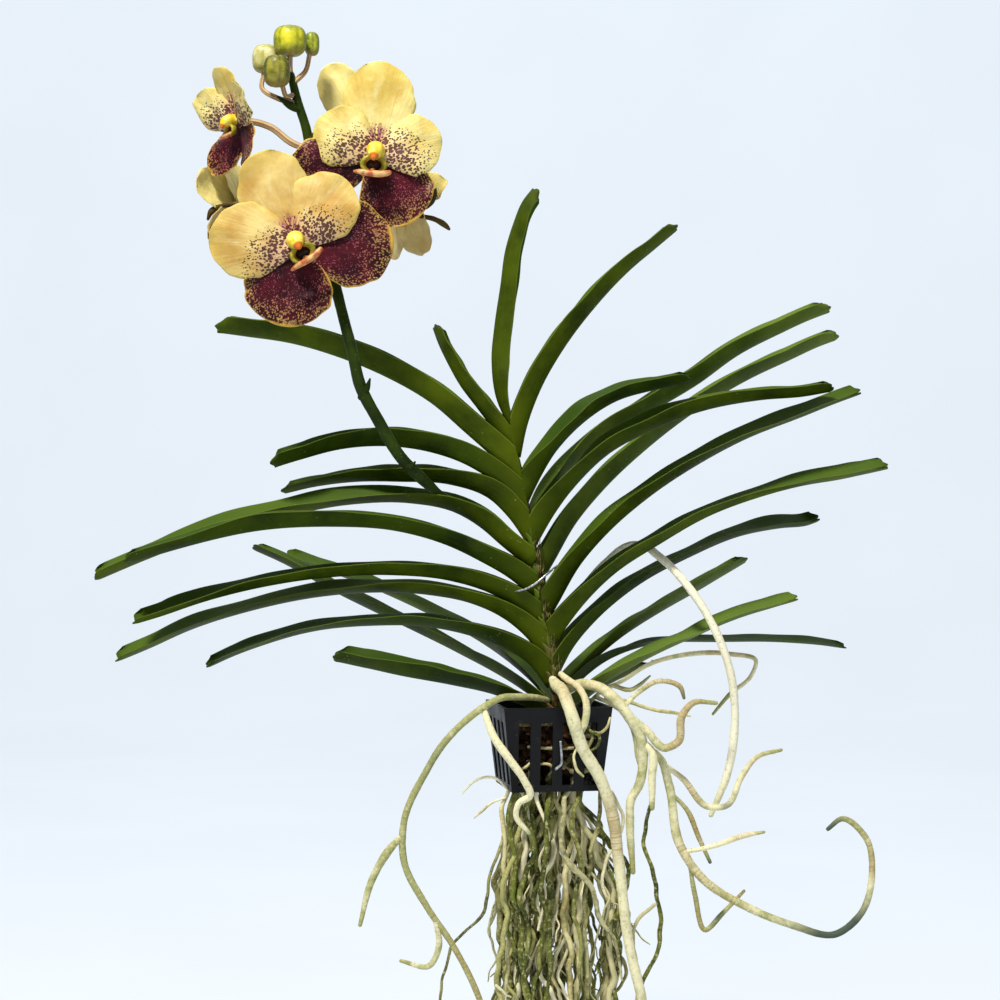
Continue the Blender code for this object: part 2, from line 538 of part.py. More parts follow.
def stem():
    """The stem between the two ranks of leaves, deeper than it is wide."""
    rows = [(*seen(across, down), half * MM) for across, down, half in STEM]
    rows = smooth(rows, 16)
    turns = np.radians(STEM_CORNERS)
    across, back = np.cos(turns) / math.cos(turns[0]), np.sin(turns)
    points, faces = [], []
    for x, y, z, half in rows:
        deep = min(STEM_HALF_DEPTH, half * 2)
        points += [(x + half * c, y + deep * s, z) for c, s in zip(across, back)]
    n = len(turns)
    for row in range(len(rows) - 1):
        for k in range(n):
            after = (k + 1) % n
            faces += split_quad(row * n + k, row * n + after, (row + 1) * n + after, (row + 1) * n + k)
    faces.append(tuple(range(n)))
    faces.append(tuple((len(rows) - 1) * n + k for k in range(n)))
    add_object("stem", mesh_from("stem", points, faces), "stem")


def root_rows(points, spacing=ROOT_SPACING):
    """Evenly spaced rows of place and radius along a root."""
    rows = [(*seen(across, down, depth), thick * PIXEL / 2) for across, down, depth, thick in points]
    length = sum(np.linalg.norm(np.subtract(a[:3], b[:3])) for a, b in zip(rows, rows[1:]))
    return smooth(rows, max(5, round(length / spacing)))


def roots(name, branches):
    """A root with its branches, sunk into it and joined."""
    meshes = [tube(name, root_rows(points), ROOT_SIDES) for points in branches]
    joined(name, meshes, "root")


def box(name, low, high, turn=0.0):
    """A box mesh, turned about the upright axis."""
    points = [(x, y, z) for x in (low[0], high[0]) for y in (low[1], high[1]) for z in (low[2], high[2])]
    faces = [(0, 1, 3, 2), (4, 6, 7, 5), (0, 4, 5, 1), (2, 3, 7, 6), (0, 2, 6, 4), (1, 5, 7, 3)]
    mesh = mesh_from(name, points, faces)
    mesh.transform(Matrix.Rotation(turn, 4, "Z"))
    return mesh


def frustum(name, top_half, foot_half, top, foot):
    """A square tapered block."""
    points = []
    for z, half in ((foot, foot_half), (top, top_half)):
        points += [(-half, -half, z), (half, -half, z), (half, half, z), (-half, half, z)]
    faces = [(0, 1, 2, 3), (4, 5, 6, 7), (0, 1, 5, 4), (1, 2, 6, 5), (2, 3, 7, 6), (3, 0, 4, 7)]
    return mesh_from(name, points, faces)


def basket_half(height):
    """Half the basket's outer side at a height below the rim."""
    share = -height / BASKET_HEIGHT
    return (RIM_SIDE + (FLOOR_SIDE - RIM_SIDE) * share) / 2


def basket():
    """The moulded basket: a tapered box with slotted sides and floor."""
    floor = -BASKET_HEIGHT
    outside = frustum("basket", RIM_SIDE / 2, FLOOR_SIDE / 2, 0, floor)
    cutters = [frustum("hollow", basket_half(MM) - WALL, basket_half(floor + FLOOR_THICK) - WALL,
                       MM, floor + FLOOR_THICK)]
    reach = RIM_SIDE
    for i in range(SLOTS_A_SIDE):
        middle = (i - (SLOTS_A_SIDE - 1) / 2) * SLOT_PITCH
        low = (middle - SLOT_WIDTH / 2, -reach, floor + FOOT_BAND)
        high = (middle + SLOT_WIDTH / 2, reach, -RIM_BAND)
        cutters.append(box("slot", low, high))
        cutters.append(box("slot", low, high, math.pi / 2))
    for i in range(FLOOR_HOLES_A_SIDE):
        for j in range(FLOOR_HOLES_A_SIDE):
            x = (i - 1) * FLOOR_PITCH
            y = (j - 1) * FLOOR_PITCH
            half = FLOOR_HOLE / 2
            cutters.append(box("hole", (x - half, y - half, floor - MM),
                               (x + half, y + half, floor + FLOOR_THICK + MM)))
    obj = add_object("basket", outside, "basket", flat=True)
    group = bpy.data.collections.new("basket_cutters")
    bpy.context.scene.collection.children.link(group)
    for mesh in cutters:
        group.objects.link(bpy.data.objects.new(mesh.name, mesh))
    cut = obj.modifiers.new("cut", "BOOLEAN")
    cut.operation = "DIFFERENCE"
    cut.operand_type = "COLLECTION"
    cut.collection = group
    cut.solver = "EXACT"
    graph = bpy.context.evaluated_depsgraph_get()
    graph.update()
    whole = bpy.data.meshes.new_from_object(obj.evaluated_get(graph))
    obj.modifiers.remove(cut)
    obj.data = whole
    for piece in list(group.objects):
        bpy.data.objects.remove(piece, do_unlink=True)
    bpy.data.collections.remove(group)
    obj.rotation_euler = (0, 0, BASKET_TURN)


def strand(draw, cell, across, deep):
    """One root that hangs from the core through a hole in the basket's floor."""
    radius = draw.uniform(*CURTAIN_RADIUS)
    play = FLOOR_HOLE / MM / 2 - radius - 3 * GAP / MM
    x, y = (k * FLOOR_PITCH / MM + draw.uniform(-play, play) for k in cell)
    floor = -BASKET_HEIGHT / MM
    length = draw.uniform(*CURTAIN_LENGTH)
    rows = [(x, y, CURTAIN_TOP / MM, radius), (x, y, floor - 3, radius)]
    for share in CURTAIN_STEPS:
        reach = min(1, share / CURTAIN_SPREAD_BY)
        sway = CURTAIN_WAVER * reach
        rows.append((x + (across - x) * reach + draw.uniform(-sway, sway),
                     y + (deep - y) * reach + draw.uniform(-sway, sway),
                     floor - length * share, radius * (STRAND_TIP if share == 1 else 1)))
    rows = np.array(rows) * MM
    turn = np.array(Matrix.Rotation(BASKET_TURN, 3, "Z"))
    rows[:, :3] = rows[:, :3] @ turn.T
    return tube("strand", smooth(rows, STRAND_ROWS), STRAND_SIDES)


def root_mass():
    """The packed roots in the basket, and the curtain of strands that hang from them."""
    draw = random.Random(SEED)
    foot = -BASKET_HEIGHT + FLOOR_THICK + GAP
    play = WALL + 2 * GAP
    core = frustum("root_mass", basket_half(CORE_TOP) - play, basket_half(foot) - play, CORE_TOP, foot)
    core.transform(Matrix.Rotation(BASKET_TURN, 4, "Z"))
    meshes = [core]
    for k in range(CURTAIN_COUNT):
        share = (k + 0.5) / CURTAIN_COUNT
        cell = (min(2, int(share * 3)) - 1, k % 3 - 1)
        across = CURTAIN_ACROSS[0] + (CURTAIN_ACROSS[1] - CURTAIN_ACROSS[0]) * share
        deep = cell[1] * CURTAIN_DEEP + draw.uniform(-CURTAIN_ROW_JITTER, CURTAIN_ROW_JITTER)
        meshes.append(strand(draw, cell, across, deep))
    joined("root_mass", meshes, "curtain")


def bloom_axis(shape):
    """A bloom's middle and the way that it faces."""
    return Vector(seen(*shape["at"])), Vector(shape["faces"]).normalized()


def stalk_to_bloom(shape):
    """A flower stalk that ends square behind its bloom."""
    middle, front = bloom_axis(shape)
    points = shape["stalk"]
    rows = [(*seen(*place), thick * PIXEL / 2) for *place, thick in points]
    for back in (-DARK[0] + 6 * MM, -DARK[0] + SEAT_GAP):
        rows.append((*(middle - back * front), points[-1][3] * PIXEL / 2))
    return tube("stalk", smooth(rows, 8), 5)


def stalk_to_bud(shape):
    """A stalk that ends just below its bud."""
    points = shape["stalk"]
    rows = [(*seen(*place), thick * PIXEL / 2) for *place, thick in points]
    middle, before = Vector(seen(*shape["at"])), Vector(rows[-1][:3])
    way = (before - middle).normalized()
    wide, tall = (size * PIXEL / 2 for size in shape["size"])
    surface = 1 / math.sqrt((way.x**2 + way.y**2) / wide**2 + way.z**2 / tall**2)
    rows.append((*(middle + way * (surface + SEAT_GAP)), rows[-1][3]))
    return tube("stalk", smooth(rows, 7), 5)


def spike():
    """The flower spike with its bracts and the stalks of its buds and blooms."""
    meshes = [tube("flower_spike", root_rows(SPIKE, SPIKE_SPACING), 6)]
    meshes += [tube("bract", root_rows(points, BRACT_SPACING), 5) for points in BRACTS]
    meshes += [stalk_to_bud(shape) for shape in BUDS.values()]
    meshes += [stalk_to_bloom(shape) for shape in BLOOMS.values()]
    joined("flower_spike", meshes, "bud")


def bud(name, at, size, stalk):
    """One closed bud."""
    work = bmesh.new()
    bmesh.ops.create_uvsphere(work, u_segments=8, v_segments=6, radius=0.5)
    mesh = bpy.data.meshes.new(name)
    work.to_mesh(mesh)
    work.free()
    wide, tall = (length * PIXEL for length in size)
    mesh.transform(Matrix.LocRotScale(seen(*at), None, (wide, wide, tall)))
    add_object(name, mesh, "bud")


def petal(length, width, angle, height, cup):
    """One petal in the bloom's own frame: +X right, +Y up, +Z to the front."""
    shares = np.array(PETAL_STATIONS)[:, None]
    across = np.array([-1, 0, 1])[None]
    edge = np.abs(across)
    along = length * (shares - edge * np.array(PETAL_BEND)[:, None])
    wide = across * np.array(PETAL_WIDTHS)[:, None] * width / 2
    lift = height + cup * shares**2 + PETAL_CURL * width * edge * shares
    turn = math.radians(angle)
    x = along * math.cos(turn) - wide * math.sin(turn)
    y = along * math.sin(turn) + wide * math.cos(turn)
    front = np.stack([x, y, lift + BLADE_THICK / 2], 2)
    back = np.stack([x, y, lift - BLADE_THICK / 2], 2)
    return front, back


def hub(name, low, high):
    """A short round hub on the bloom's axis, which its blades grow from."""
    return tube(name, [(0, 0, low, HUB_RADIUS), (0, 0, high, HUB_RADIUS)], HUB_SIDES)


def lip(name):
    """The column and the pouched lip in front of a bloom's middle."""
    low = YELLOW[1] + GAP
    rows = [(0, 0, low, COLUMN_RADIUS), (0, 0, low + COLUMN_LENGTH / 2, COLUMN_RADIUS),
            (0, 0, low + COLUMN_LENGTH, COLUMN_RADIUS * 0.6)]
    pouch = [(0, down * MM, low + ahead * MM, radius * MM) for down, ahead, radius in POUCH]
    return [tube(name + "_lip", rows, 7), tube("pouch", pouch, 6)]


def bloom(name, blades, cup, **shape):
    """A bloom: yellow petals and upper sepal, dark lateral sepals, lip with column."""
    middle, front = bloom_axis(shape)
    right = Vector((0, 0, 1)).cross(front).normalized()
    frame = Matrix((right, front.cross(right), front)).transposed().to_4x4()
    frame.translation = middle
    heights = (UPPER_SEPAL_HEIGHT, PETAL_HEIGHT, PETAL_HEIGHT, LOWER_SEPAL_HEIGHT, LOWER_SEPAL_HEIGHT)
    meshes = []
    for (angle, length, width), height in zip(blades, heights):
        meshes.append(shell("blade", *petal(length * MM, width * MM, angle, height, cup * MM)))
    yellow = [hub(name + "_petals", *YELLOW), *meshes[:3]]
    dark = [hub(name + "_sepals", *DARK), *meshes[3:]]
    middle_parts = lip(name)
    for part in yellow + dark + middle_parts:
        part.transform(frame)
    joined(name + "_petals", yellow, "yellow")
    joined(name + "_sepals", dark, "dark")
    joined(name + "_lip", middle_parts, "lip")


def wire(name, places, thick):
    """A bent piece of wire."""
    rows = smooth([(*seen(*place), thick / 2) for place in places], WIRE_ROWS)
    add_object(name, tube(name, rows, WIRE_SIDES), "wire")


def main():
    clear_scene()
    basket()
    root_mass()
    stem()
    for name, shape in LEAVES.items():
        leaf(name, **shape)
    for name, branches in ROOTS.items():
        roots(name, branches)
    spike()
    for name, shape in BUDS.items():
        bud(name, **shape)
    for name, shape in BLOOMS.items():
        bloom(name, **shape)
    for name, shape in WIRES.items():
        wire(name, **shape)


main()
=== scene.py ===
"""The look of the flowering vanda orchid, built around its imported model.

Metres, +Z up. The origin is the middle of the basket's rim, on the rim's top face. Routes
and outlines are the ones that the solids follow: pixels across and down in the photograph,
and the depth in millimetres behind the middle of the basket. seen() gives their place.
"""

import math
import random

import bmesh
import bpy
import numpy as np
from mathutils import Matrix, Vector


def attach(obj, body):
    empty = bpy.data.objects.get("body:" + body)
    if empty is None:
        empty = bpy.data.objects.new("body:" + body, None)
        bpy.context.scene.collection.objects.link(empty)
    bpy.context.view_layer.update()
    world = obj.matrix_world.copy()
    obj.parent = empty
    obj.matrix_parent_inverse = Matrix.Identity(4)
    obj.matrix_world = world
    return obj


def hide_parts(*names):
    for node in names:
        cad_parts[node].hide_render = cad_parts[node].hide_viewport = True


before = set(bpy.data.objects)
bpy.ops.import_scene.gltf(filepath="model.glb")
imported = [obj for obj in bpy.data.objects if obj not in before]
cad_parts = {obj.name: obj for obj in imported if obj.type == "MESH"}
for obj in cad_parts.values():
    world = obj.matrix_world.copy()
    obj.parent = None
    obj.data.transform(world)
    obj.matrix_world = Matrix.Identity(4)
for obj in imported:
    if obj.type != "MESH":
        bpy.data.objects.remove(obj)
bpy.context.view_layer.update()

# Where the photograph was taken from
MM = 0.001
PIXEL = 0.6 * MM
EYE = (-28.8 * MM, -1400 * MM, 121.8 * MM)
PHOTO_MIDDLE = 500
LENS = 84
SENSOR = 36

# Basket
RIM_SIDE = 65 * MM
FLOOR_SIDE = 54 * MM
BASKET_HEIGHT = 50 * MM
BASKET_TURN = math.radians(10)
WALL = 2.2 * MM
FLOOR_THICK = 2.4 * MM
FLOOR_HOLE = 10 * MM
FLOOR_PITCH = 14.5 * MM
BASKET_BEVEL = 0.45 * MM
BASKET_BEVEL_FROM = math.radians(30)
BASKET_SHARP_FROM = math.radians(40)
GAP = 0.3 * MM

# Leaves
LEAF_THICK = 0.9 * MM
LEAF_HALF_WIDTH = 15
LEAF_FOOT = 1.06
LEAF_SAMPLES = 80
LEAF_ROWS = 60
LEAF_COLUMNS = 17
LEAF_MARGIN = 0.965
LEAF_TAPER = ((0.12, 1), (0.85, 1), (0.92, 0.97), (0.96, 0.92), (0.985, 0.82), (1, 0.66))
LEAF_CAMBER = 0.05
KEEL_ROUND = 0.12
KEEL_THICK = 0.5 * MM
KEEL_SPREAD = 0.13
MARGIN_THIN = 0.55
TIP_THIN = 0.3
RIPPLE = 0.35 * MM
RIPPLE_WAVES = ((2.3, 1), (3.7, 1), (5.9, 1))
RIPPLE_LEAN = 2 * math.pi * 0.15
# Leaves given the lighter greens: painted sunlight for the leaves that stand in the sun
PAINTED_SUN_LEAVES = ("leaf_right_04", "leaf_right_05", "leaf_right_09", "leaf_right_10")
TIP_FROM = 0.9
TIP_SHARES = (-1, -0.8, -0.45, -0.05, 0.4, 0.75, 1)
TIP_REACH = (-0.3, -0.08, 0.05, -0.14, 0.08, -0.06, -0.26)
TIP_TEETH = 0.05
TIP_HOLD_FROM = 0.83
TIP_HOLD = 0.94
FLATTEST = 0.02
STEEPEST = 0.94

# Stem, with the fibres and the sheaths of old leaf bases
STEM_HALF_DEPTH = 5.5 * MM
STEM_ROWS = 130
STEM_SIDES = 28
SCAR_ROWS = 9
SCAR_DEPTH = 0.05
FIBRE_COUNT = 110
FIBRE_FROM = (0.42, 0.95)
FIBRE_ANGLES = (-2.6, -0.5)
FIBRE_STEP = 2.4 * MM
FIBRE_RADIUS = 0.15 * MM
FIBRE_STEPS = 7
FIBRE_ROWS = 14
FIBRE_SIDES = 5
FIBRE_LIFT = 0.09
FIBRE_SHAKE = 0.6 * MM
FIBRE_TURN = 0.12
SHEATH_OUT = 0.15 * MM
SHEATH_THICK = 0.35 * MM
SHEATH_FLARE = 3.0 * MM
SHEATH_HALF_TURN = math.radians(112)
SHEATH_ROWS = 10
SHEATH_COLUMNS = 15
SHEATH_ROUND = 0.55
SHEATH_RAGGED = 0.1
# How far each side's leaf feet end from the stem's middle: pixels down, millimetres
FEET_APART = ((740, 1.4), (690, 0.6), (640, 0.3), (600, 0.1), (570, -0.2), (555, -0.4), (430, -0.4))
# Old leaf bases round the stem: pixels down where each begins, how far it reaches and how dry
SHEATHS = ((722, 20, 0.9), (706, 22, 0.7), (692, 22, 0.6), (678, 22, 0.5), (664, 22, 0.5),
           (650, 22, 0.4), (636, 22, 0.3), (622, 22, 0.2), (608, 22, 0.1), (594, 22, 0.0),
           (580, 22, -0.1), (566, 22, -0.2), (552, 20, -0.3), (538, 18, -0.4), (524, 16, -0.4))
# The stem's middle: pixels across and down, half width in millimetres
STEM = (
    (511, 432, 0.8), (521, 470, 1.0), (529, 515, 1.3), (536, 560, 1.7),
    (542, 605, 2.1), (550, 645, 2.4), (556, 690, 2.7), (557, 725.6, 3.0),
)

# Leaves: keel points from foot to tip with the depth, then how many pixels the near and the
# far margin of the folded blade stand above the keel there, and half the blade's width in mm.
LEAVES = {
    "leaf_left_01": dict(half=12, points=(
        (513, 461, 0, 17, 18), (495, 436, 1, 18, 19), (475, 409, 2, 16, 18), (458, 386, 3, 15, 17),
        (446, 364, 4, 13, 15), (436, 342, 5, 9, 12), (431, 328, 6, 5, 7))),
    "leaf_left_02": dict(half=17, points=(
        (521, 491, 0, 26, 27), (493, 462, 2, 26, 27), (462, 434, 4, 25, 26), (430, 406, 8, 23, 25),
        (385, 380, 12, 24, 26), (340, 361, 15, 23, 26), (290, 346, 16, 21, 24), (245, 339, 16, 17, 20),
        (216, 335, 16, 9, 11))),
    "leaf_left_03": dict(points=(
        (524, 516, 0, 24, 25), (494, 486, 2, 25, 26), (466, 468, 4, 24, 25), (430, 455, 8, 22, 23),
        (390, 449, 10, 20, 22), (345, 451, 12, 17, 21), (300, 462, 13, 12, 18), (274, 470, 14, 6, 8))),
    "leaf_left_04": dict(points=(
        (524, 545, 0, 25, 25), (506, 519, 2, 25, 25), (486, 500, 5, 22, 23), (450, 487, 9, 17, 19),
        (400, 484, 16, 15, 20), (350, 484, 26, 11, 16), (315, 488, 31, 7, 12), (285, 495, 35, 4, 6))),
    "leaf_left_05": dict(points=(
        (527, 570, 0, 22, 22), (499, 547, 1, 21, 21), (478, 529, 2, 21, 22), (455, 515, 4, 16, 20),
        (410, 505, 8, 11, 18), (350, 506, 12, 8, 20), (290, 517, 15, 9, 20), (220, 535, 17, 12, 21),
        (150, 560, 18, 9, 15), (98, 582, 18, 4, 6))),
    "leaf_left_06": dict(points=(
        (530, 600, 0, 25, 25), (508, 581, -2, 24, 24), (480, 564, -5, 20, 20), (445, 547, -9, 18, 18),
        (395, 533, -12, 16, 17), (330, 529, -15, 17, 18), (260, 533, -17, 18, 19), (200, 545, -18, 12, 16),
        (160, 556, -18, 7, 10), (128, 566, -18, 3, 5))),
    "leaf_left_07": dict(points=(
        (534, 629, 0, 25, 25), (512, 609, -1, 23, 23), (490, 596, -1, 20, 20), (450, 583, -3, 17, 17),
        (390, 577, -4, 14, 15), (320, 580, -5, 12, 14), (260, 589, -6, 9, 13), (200, 604, -6, 6, 15),
        (165, 616, -6, 5, 15), (136, 625, -6, 3, 6))),
    "leaf_left_08": dict(points=(
        (540, 660, 0, 25, 25), (522, 637, 1, 23, 23), (500, 619, 2, 19, 19), (470, 605, 3, 14, 15),
        (430, 597, 4, 14, 15), (380, 594, 4, 11, 14), (320, 598, 5, 8, 15), (250, 612, 6, 6, 13),
        (190, 631, 6, 5, 14), (150, 649, 6, 3, 12), (119, 662, 6, 2, 5))),
    "leaf_left_09": dict(half=14, points=(
        (545, 690, 0, 23, 22), (528, 667, 0, 22, 21), (508, 653, 0, 19, 19), (480, 641, 0, 16, 16),
        (430, 629, -1, 13, 13), (370, 627, -2, 9, 11), (320, 631, -2, 6, 11), (265, 645, -2, 4, 11),
        (235, 656, -2, 3, 10), (209, 668, -2, 2, 4))),
    "leaf_left_10": dict(half=12, foot=0.75, points=(
        (551, 712, 2, 10, 3), (518, 688, 19, 12, 4), (455, 653, 50, 12, 10), (390, 621, 74, 11, 13),
        (330, 591, 94, 9, 12), (280, 563, 108, 8, 10), (253, 551, 114, 4, 5))),
    "leaf_left_11": dict(half=12, foot=0.75, points=(
        (550.6, 703, 8, 3, 8), (524, 676, 33, 6, 12), (482, 645, 68, 12, 14), (430, 616, 100, 8, 13),
        (350, 580, 130, 4, 12), (310, 566, 142, 3, 11), (285, 556, 150, 2, 6))),
    "leaf_left_12": dict(half=14, foot=0.75, points=(
        (551, 724, 0, 12, 7), (520, 706, -5, 14, 10), (492, 696, -9, 14, 15), (450, 687, -13, 17, 18),
        (400, 678, -16, 17, 21), (365, 670, -18, 14, 20), (333, 663, -18, 9, 14))),
    "leaf_top": dict(half=13, foot=0.34, upright=True, points=(
        (509, 430, 0, 6, 6), (494, 397, 0, 14, 14), (489, 360, 0, 20.5, 20.5), (492, 325, 1, 20, 20.5),
        (498, 285, 3, 19, 20), (503, 250, 5, 17, 19), (512, 221, 7, 15, 17), (521, 200, 8, 11, 13),
        (532, 186, 9, 5, 6))),
    "leaf_right_01": dict(half=15, foot=0.85, points=(
        (523, 458, 0, 19, 20), (530, 426, 1, 21, 22), (543, 391, 2, 21, 22), (566, 350, 3, 19, 21),
        (595, 311, 4, 17, 19), (632, 271, 5, 14, 16), (660, 247, 7, 9, 11), (679, 231, 8, 4, 5))),
    "leaf_right_02": dict(half=15, points=(
        (529, 509, 0, 24, 24), (540, 485, -2, 24, 24), (560, 450, -5, 13, 21), (590, 420, -8, 11, 22),
        (620, 402, -10, 13, 19), (650, 393, -12, 12, 16), (690, 384, -12, 5, 8))),
    "leaf_right_03": dict(points=(
        (537, 548, 0, 22, 10), (556, 515, -3, 22, 10), (580, 484, -6, 17, 15), (610, 456, -9, 15, 21),
        (650, 434, -12, 15, 22), (700, 414, -13, 14, 18), (760, 402, -14, 12, 15), (805, 398, -14, 9, 12),
        (833, 393, -14, 4, 7))),
    "leaf_right_04": dict(foot=0.45, points=(
        (533, 527, 4, 10, 11), (558, 489, 19, 10, 18), (605, 443, 32, 19, 19), (655, 413, 37, 19, 20),
        (700, 386, 38, 19, 21), (740, 357, 38, 17, 20), (780, 336, 38, 14, 18), (810, 322, 38, 9, 13),
        (831, 314, 38, 3, 6))),
    "leaf_right_05": dict(points=(
        (541, 590, 3, 22, 24), (557, 562, 10, 20, 23), (578, 525, 14, 20, 21), (605, 492, 16, 20, 20),
        (650, 449, 20, 15, 18), (700, 411, 22, 15, 17), (750, 381, 23, 14, 16), (790, 362, 23, 12, 15),
        (820, 348, 23, 7, 11), (839, 341, 23, 3, 5))),
    "leaf_right_06": dict(points=(
        (547, 630, 0, 26, 25), (562, 603, -2, 25, 24), (582, 567, -4, 19, 20), (610, 534, -7, 15, 20),
        (650, 499, -9, 13, 17), (700, 465, -10, 9, 15), (750, 438, -10, 5, 14), (800, 418, -10, 3, 13),
        (840, 402, -10, 2, 9), (860, 395, -10, 1, 4))),
    "leaf_right_07": dict(points=(
        (552, 657, 0, 24, 23), (566, 633, -3, 23, 22), (583, 609, -6, 19, 18), (615, 576, -9, 14, 15),
        (660, 546, -12, 12, 14), (710, 517, -13, 9, 12), (760, 498, -13, 7, 11), (800, 487, -13, 5, 13),
        (840, 480, -12, 4, 15), (868, 474, -12, 3, 13), (887, 470, -12, 2, 5))),
    "leaf_right_08": dict(half=14, points=(
        (559, 680, 0, 18, 21), (575, 649, 4, 15, 19), (600, 619, 9, 13, 16), (640, 586, 11, 11, 13),
        (690, 558, 13, 7, 10), (740, 537, 14, 6, 12), (780, 529, 15, 5, 14), (808, 526, 15, 4, 10),
        (819, 522, 15, 2, 4))),
    "leaf_right_09": dict(half=12, foot=0.75, points=(
        (561, 694, 4, 10, 11), (590, 666, 28, 11, 14), (622, 639, 44, 12, 13), (660, 614, 60, 10, 12),
        (700, 591, 76, 9, 12), (730, 573, 86, 8, 11), (747, 563, 90, 4, 5))),
    "leaf_right_10": dict(half=13, foot=0.75, points=(
        (563, 714, -1, 13, 6), (600, 688, -2, 12, 10), (640, 664, -2, 8, 12), (690, 639, -2, 4, 9),
        (740, 618, -2, 4, 11), (775, 607, -2, 3, 9), (797, 601, -2, 1, 3))),
    "leaf_right_11": dict(half=12, foot=0.75, points=(
        (562, 704, 3, 10, 5), (583, 680, 20, 11, 4), (608, 661, 32, 9, 4), (648, 646, 42, 6, 5),
        (720, 642, 48, 3, 6), (790, 643, 50, 4, 7), (825, 646, 50, 3, 6), (844, 649, 50, 1, 3))),
    "leaf_right_12": dict(half=11, foot=0.75, points=(
        (563, 722, 6, 3, 6), (577, 708, 19, 4, 9), (592, 695.8, 32, 7, 11), (624, 678, 46, 8, 9),
        (652, 666, 60, 5, 5))),
}

# Roots: points with depth and the root's thickness in pixels
ROOTS = {
    "root_main": (
        ((553, 680, -6.2, 9), (557, 686, -20, 12), (563, 692, -34, 12.5), (570, 710, -40, 12.5),
         (583, 749, -38, 12.5), (599, 776, -34, 12), (611, 809, -30, 12), (619, 864, -28, 11),
         (629, 944, -27, 10), (642, 1000, -26, 10), (650, 1050, -25, 9), (652, 1100, -24, 8),
         (649, 1150, -24, 4)),
        ((561, 674, -9.5, 6), (568, 680, -22, 6.5), (579, 688, -32, 7), (586, 702, -37.5, 7),
         (585, 722, -38.5, 7), (578, 738, -38.5, 6)),
    ),
    "root_left": (
        ((547, 700, -12.8, 6), (538, 698, -17.8, 6.5), (519, 697, -27, 7), (501, 698, -34, 7),
         (484, 707, -39, 7),
         (462, 724, -40, 7), (441, 747, -41, 7), (427, 770, -41, 7), (404, 822, -40, 7),
         (404, 861, -39, 7), (427, 907, -38, 6.5), (452, 944, -37, 6), (475, 988, -36, 6),
         (492, 1040, -35, 5.5), (498, 1090, -34, 3)),
        ((402, 836, -40, 5), (395, 843, -40, 7), (372, 880, -42, 7), (360, 925, -44, 4)),
        ((436, 922, -38, 5), (439, 946, -37, 6), (429, 966, -36, 6), (401, 961, -36, 3.5)),
        ((483, 708, -38, 6), (495, 739, -44, 8), (510, 760, -45, 8), (524, 780, -44, 7.5),
         (530, 796, -42, 7), (519, 803, -41, 6), (516, 815, -40, 6), (529, 833, -38, 4)),
    ),
    "root_right": (
        ((562, 692, -7.3, 9), (584, 684, -19, 10.5), (600, 688, -24, 11), (615, 699, -28, 11),
         (627, 714, -29, 11), (641, 738, -27, 10.5), (643, 760, -25, 10), (639, 785, -24, 9),
         (631, 800, -24, 8.5), (630, 820, -23, 8.5), (633, 872, -22, 5)),
        ((630, 717, -28, 8), (646, 730, -30, 8), (665, 748, -31, 8), (678, 742, -32, 8),
         (682, 716, -33, 7.5), (693, 703, -34, 6), (716, 703, -34, 4)),
        ((641, 742, -26, 8), (650, 749, -27, 8), (652, 780, -26, 8), (652, 808, -25, 5)),
        ((643, 745, -24, 6), (660, 758, -20, 8), (669, 785, -19, 8.5), (680, 845, -20, 9),
         (701, 877, -22, 8.5), (747, 907, -25, 8), (792, 925, -27, 7.5), (836, 934, -28, 7),
         (860, 915, -28, 7), (872, 873, -28, 6.5), (866, 838, -28, 6), (841, 819, -28, 5.5),
         (828, 829, -28, 4)),
        ((662, 763, -20, 5), (682, 778, -20, 6), (709, 807, -20, 6.5), (726, 806, -20, 6),
         (742, 776, -19, 6), (757, 757, -18, 5), (781, 750, -18, 3.5)),
        ((671, 793, -19, 4), (687, 810, -15, 5), (699, 838, -13, 5), (710, 862, -12, 3.5)),
        ((683, 852, -20, 4), (710, 847, -25, 5), (747, 835, -29, 5), (764, 832, -30, 3)),
        ((690, 866, -21, 4), (695, 895, -16, 5), (706, 930, -13, 5), (722, 914, -12, 5),
         (744, 891, -12, 3)),
        ((622, 709, -28, 5), (639, 692, -22, 5), (660, 681, -17, 5), (681, 688, -16, 5),
         (684, 698, -16, 3)),
    ),
    "root_white": (
        ((550, 640, 6.2, 5), (556, 632, 9, 5), (566, 618, 12, 5.5), (582, 590, 13, 7), (605, 563, 12, 7.5),
         (632, 545, 10, 8), (645, 546, 7, 8), (656, 554, 0, 8), (668, 564, -8, 8),
         (682, 579, -13, 8), (710, 620, -18.5, 8), (731, 675, -18.5, 8), (735, 715, -16, 8),
         (727, 775, -14, 8), (711, 815, -12, 5)),
    ),
    "root_thin": (
        ((585, 716, 10, 3.5), (592, 700, 11, 4), (601, 692, 13, 4), (622, 681, 17, 4.5),
         (650, 664, 20, 4.5), (690, 654, 20, 5),
         (730, 654, 19, 5), (756, 661, 18, 4.5), (751, 676, 18, 4.5), (730, 694, 18, 4.5),
         (713, 714, 18, 3)),
    ),
}
ROOT_STEP = 1.6 * MM
# How green each branch is, 0 to 1, and how much greener its tip is
ROOT_TINTS = {
    "root_main": (0.42, 0.5), "root_left": (0.72, 0.6, 0.55, 0.1),
    "root_right": (0.5, 0.55, 0.35, 0.55, 0.45, 0.65, 0.4, 0.7, 0.5),
    "root_white": (0.3,), "root_thin": (0.45,),
}
ROOT_TIP_TINT = 0.45
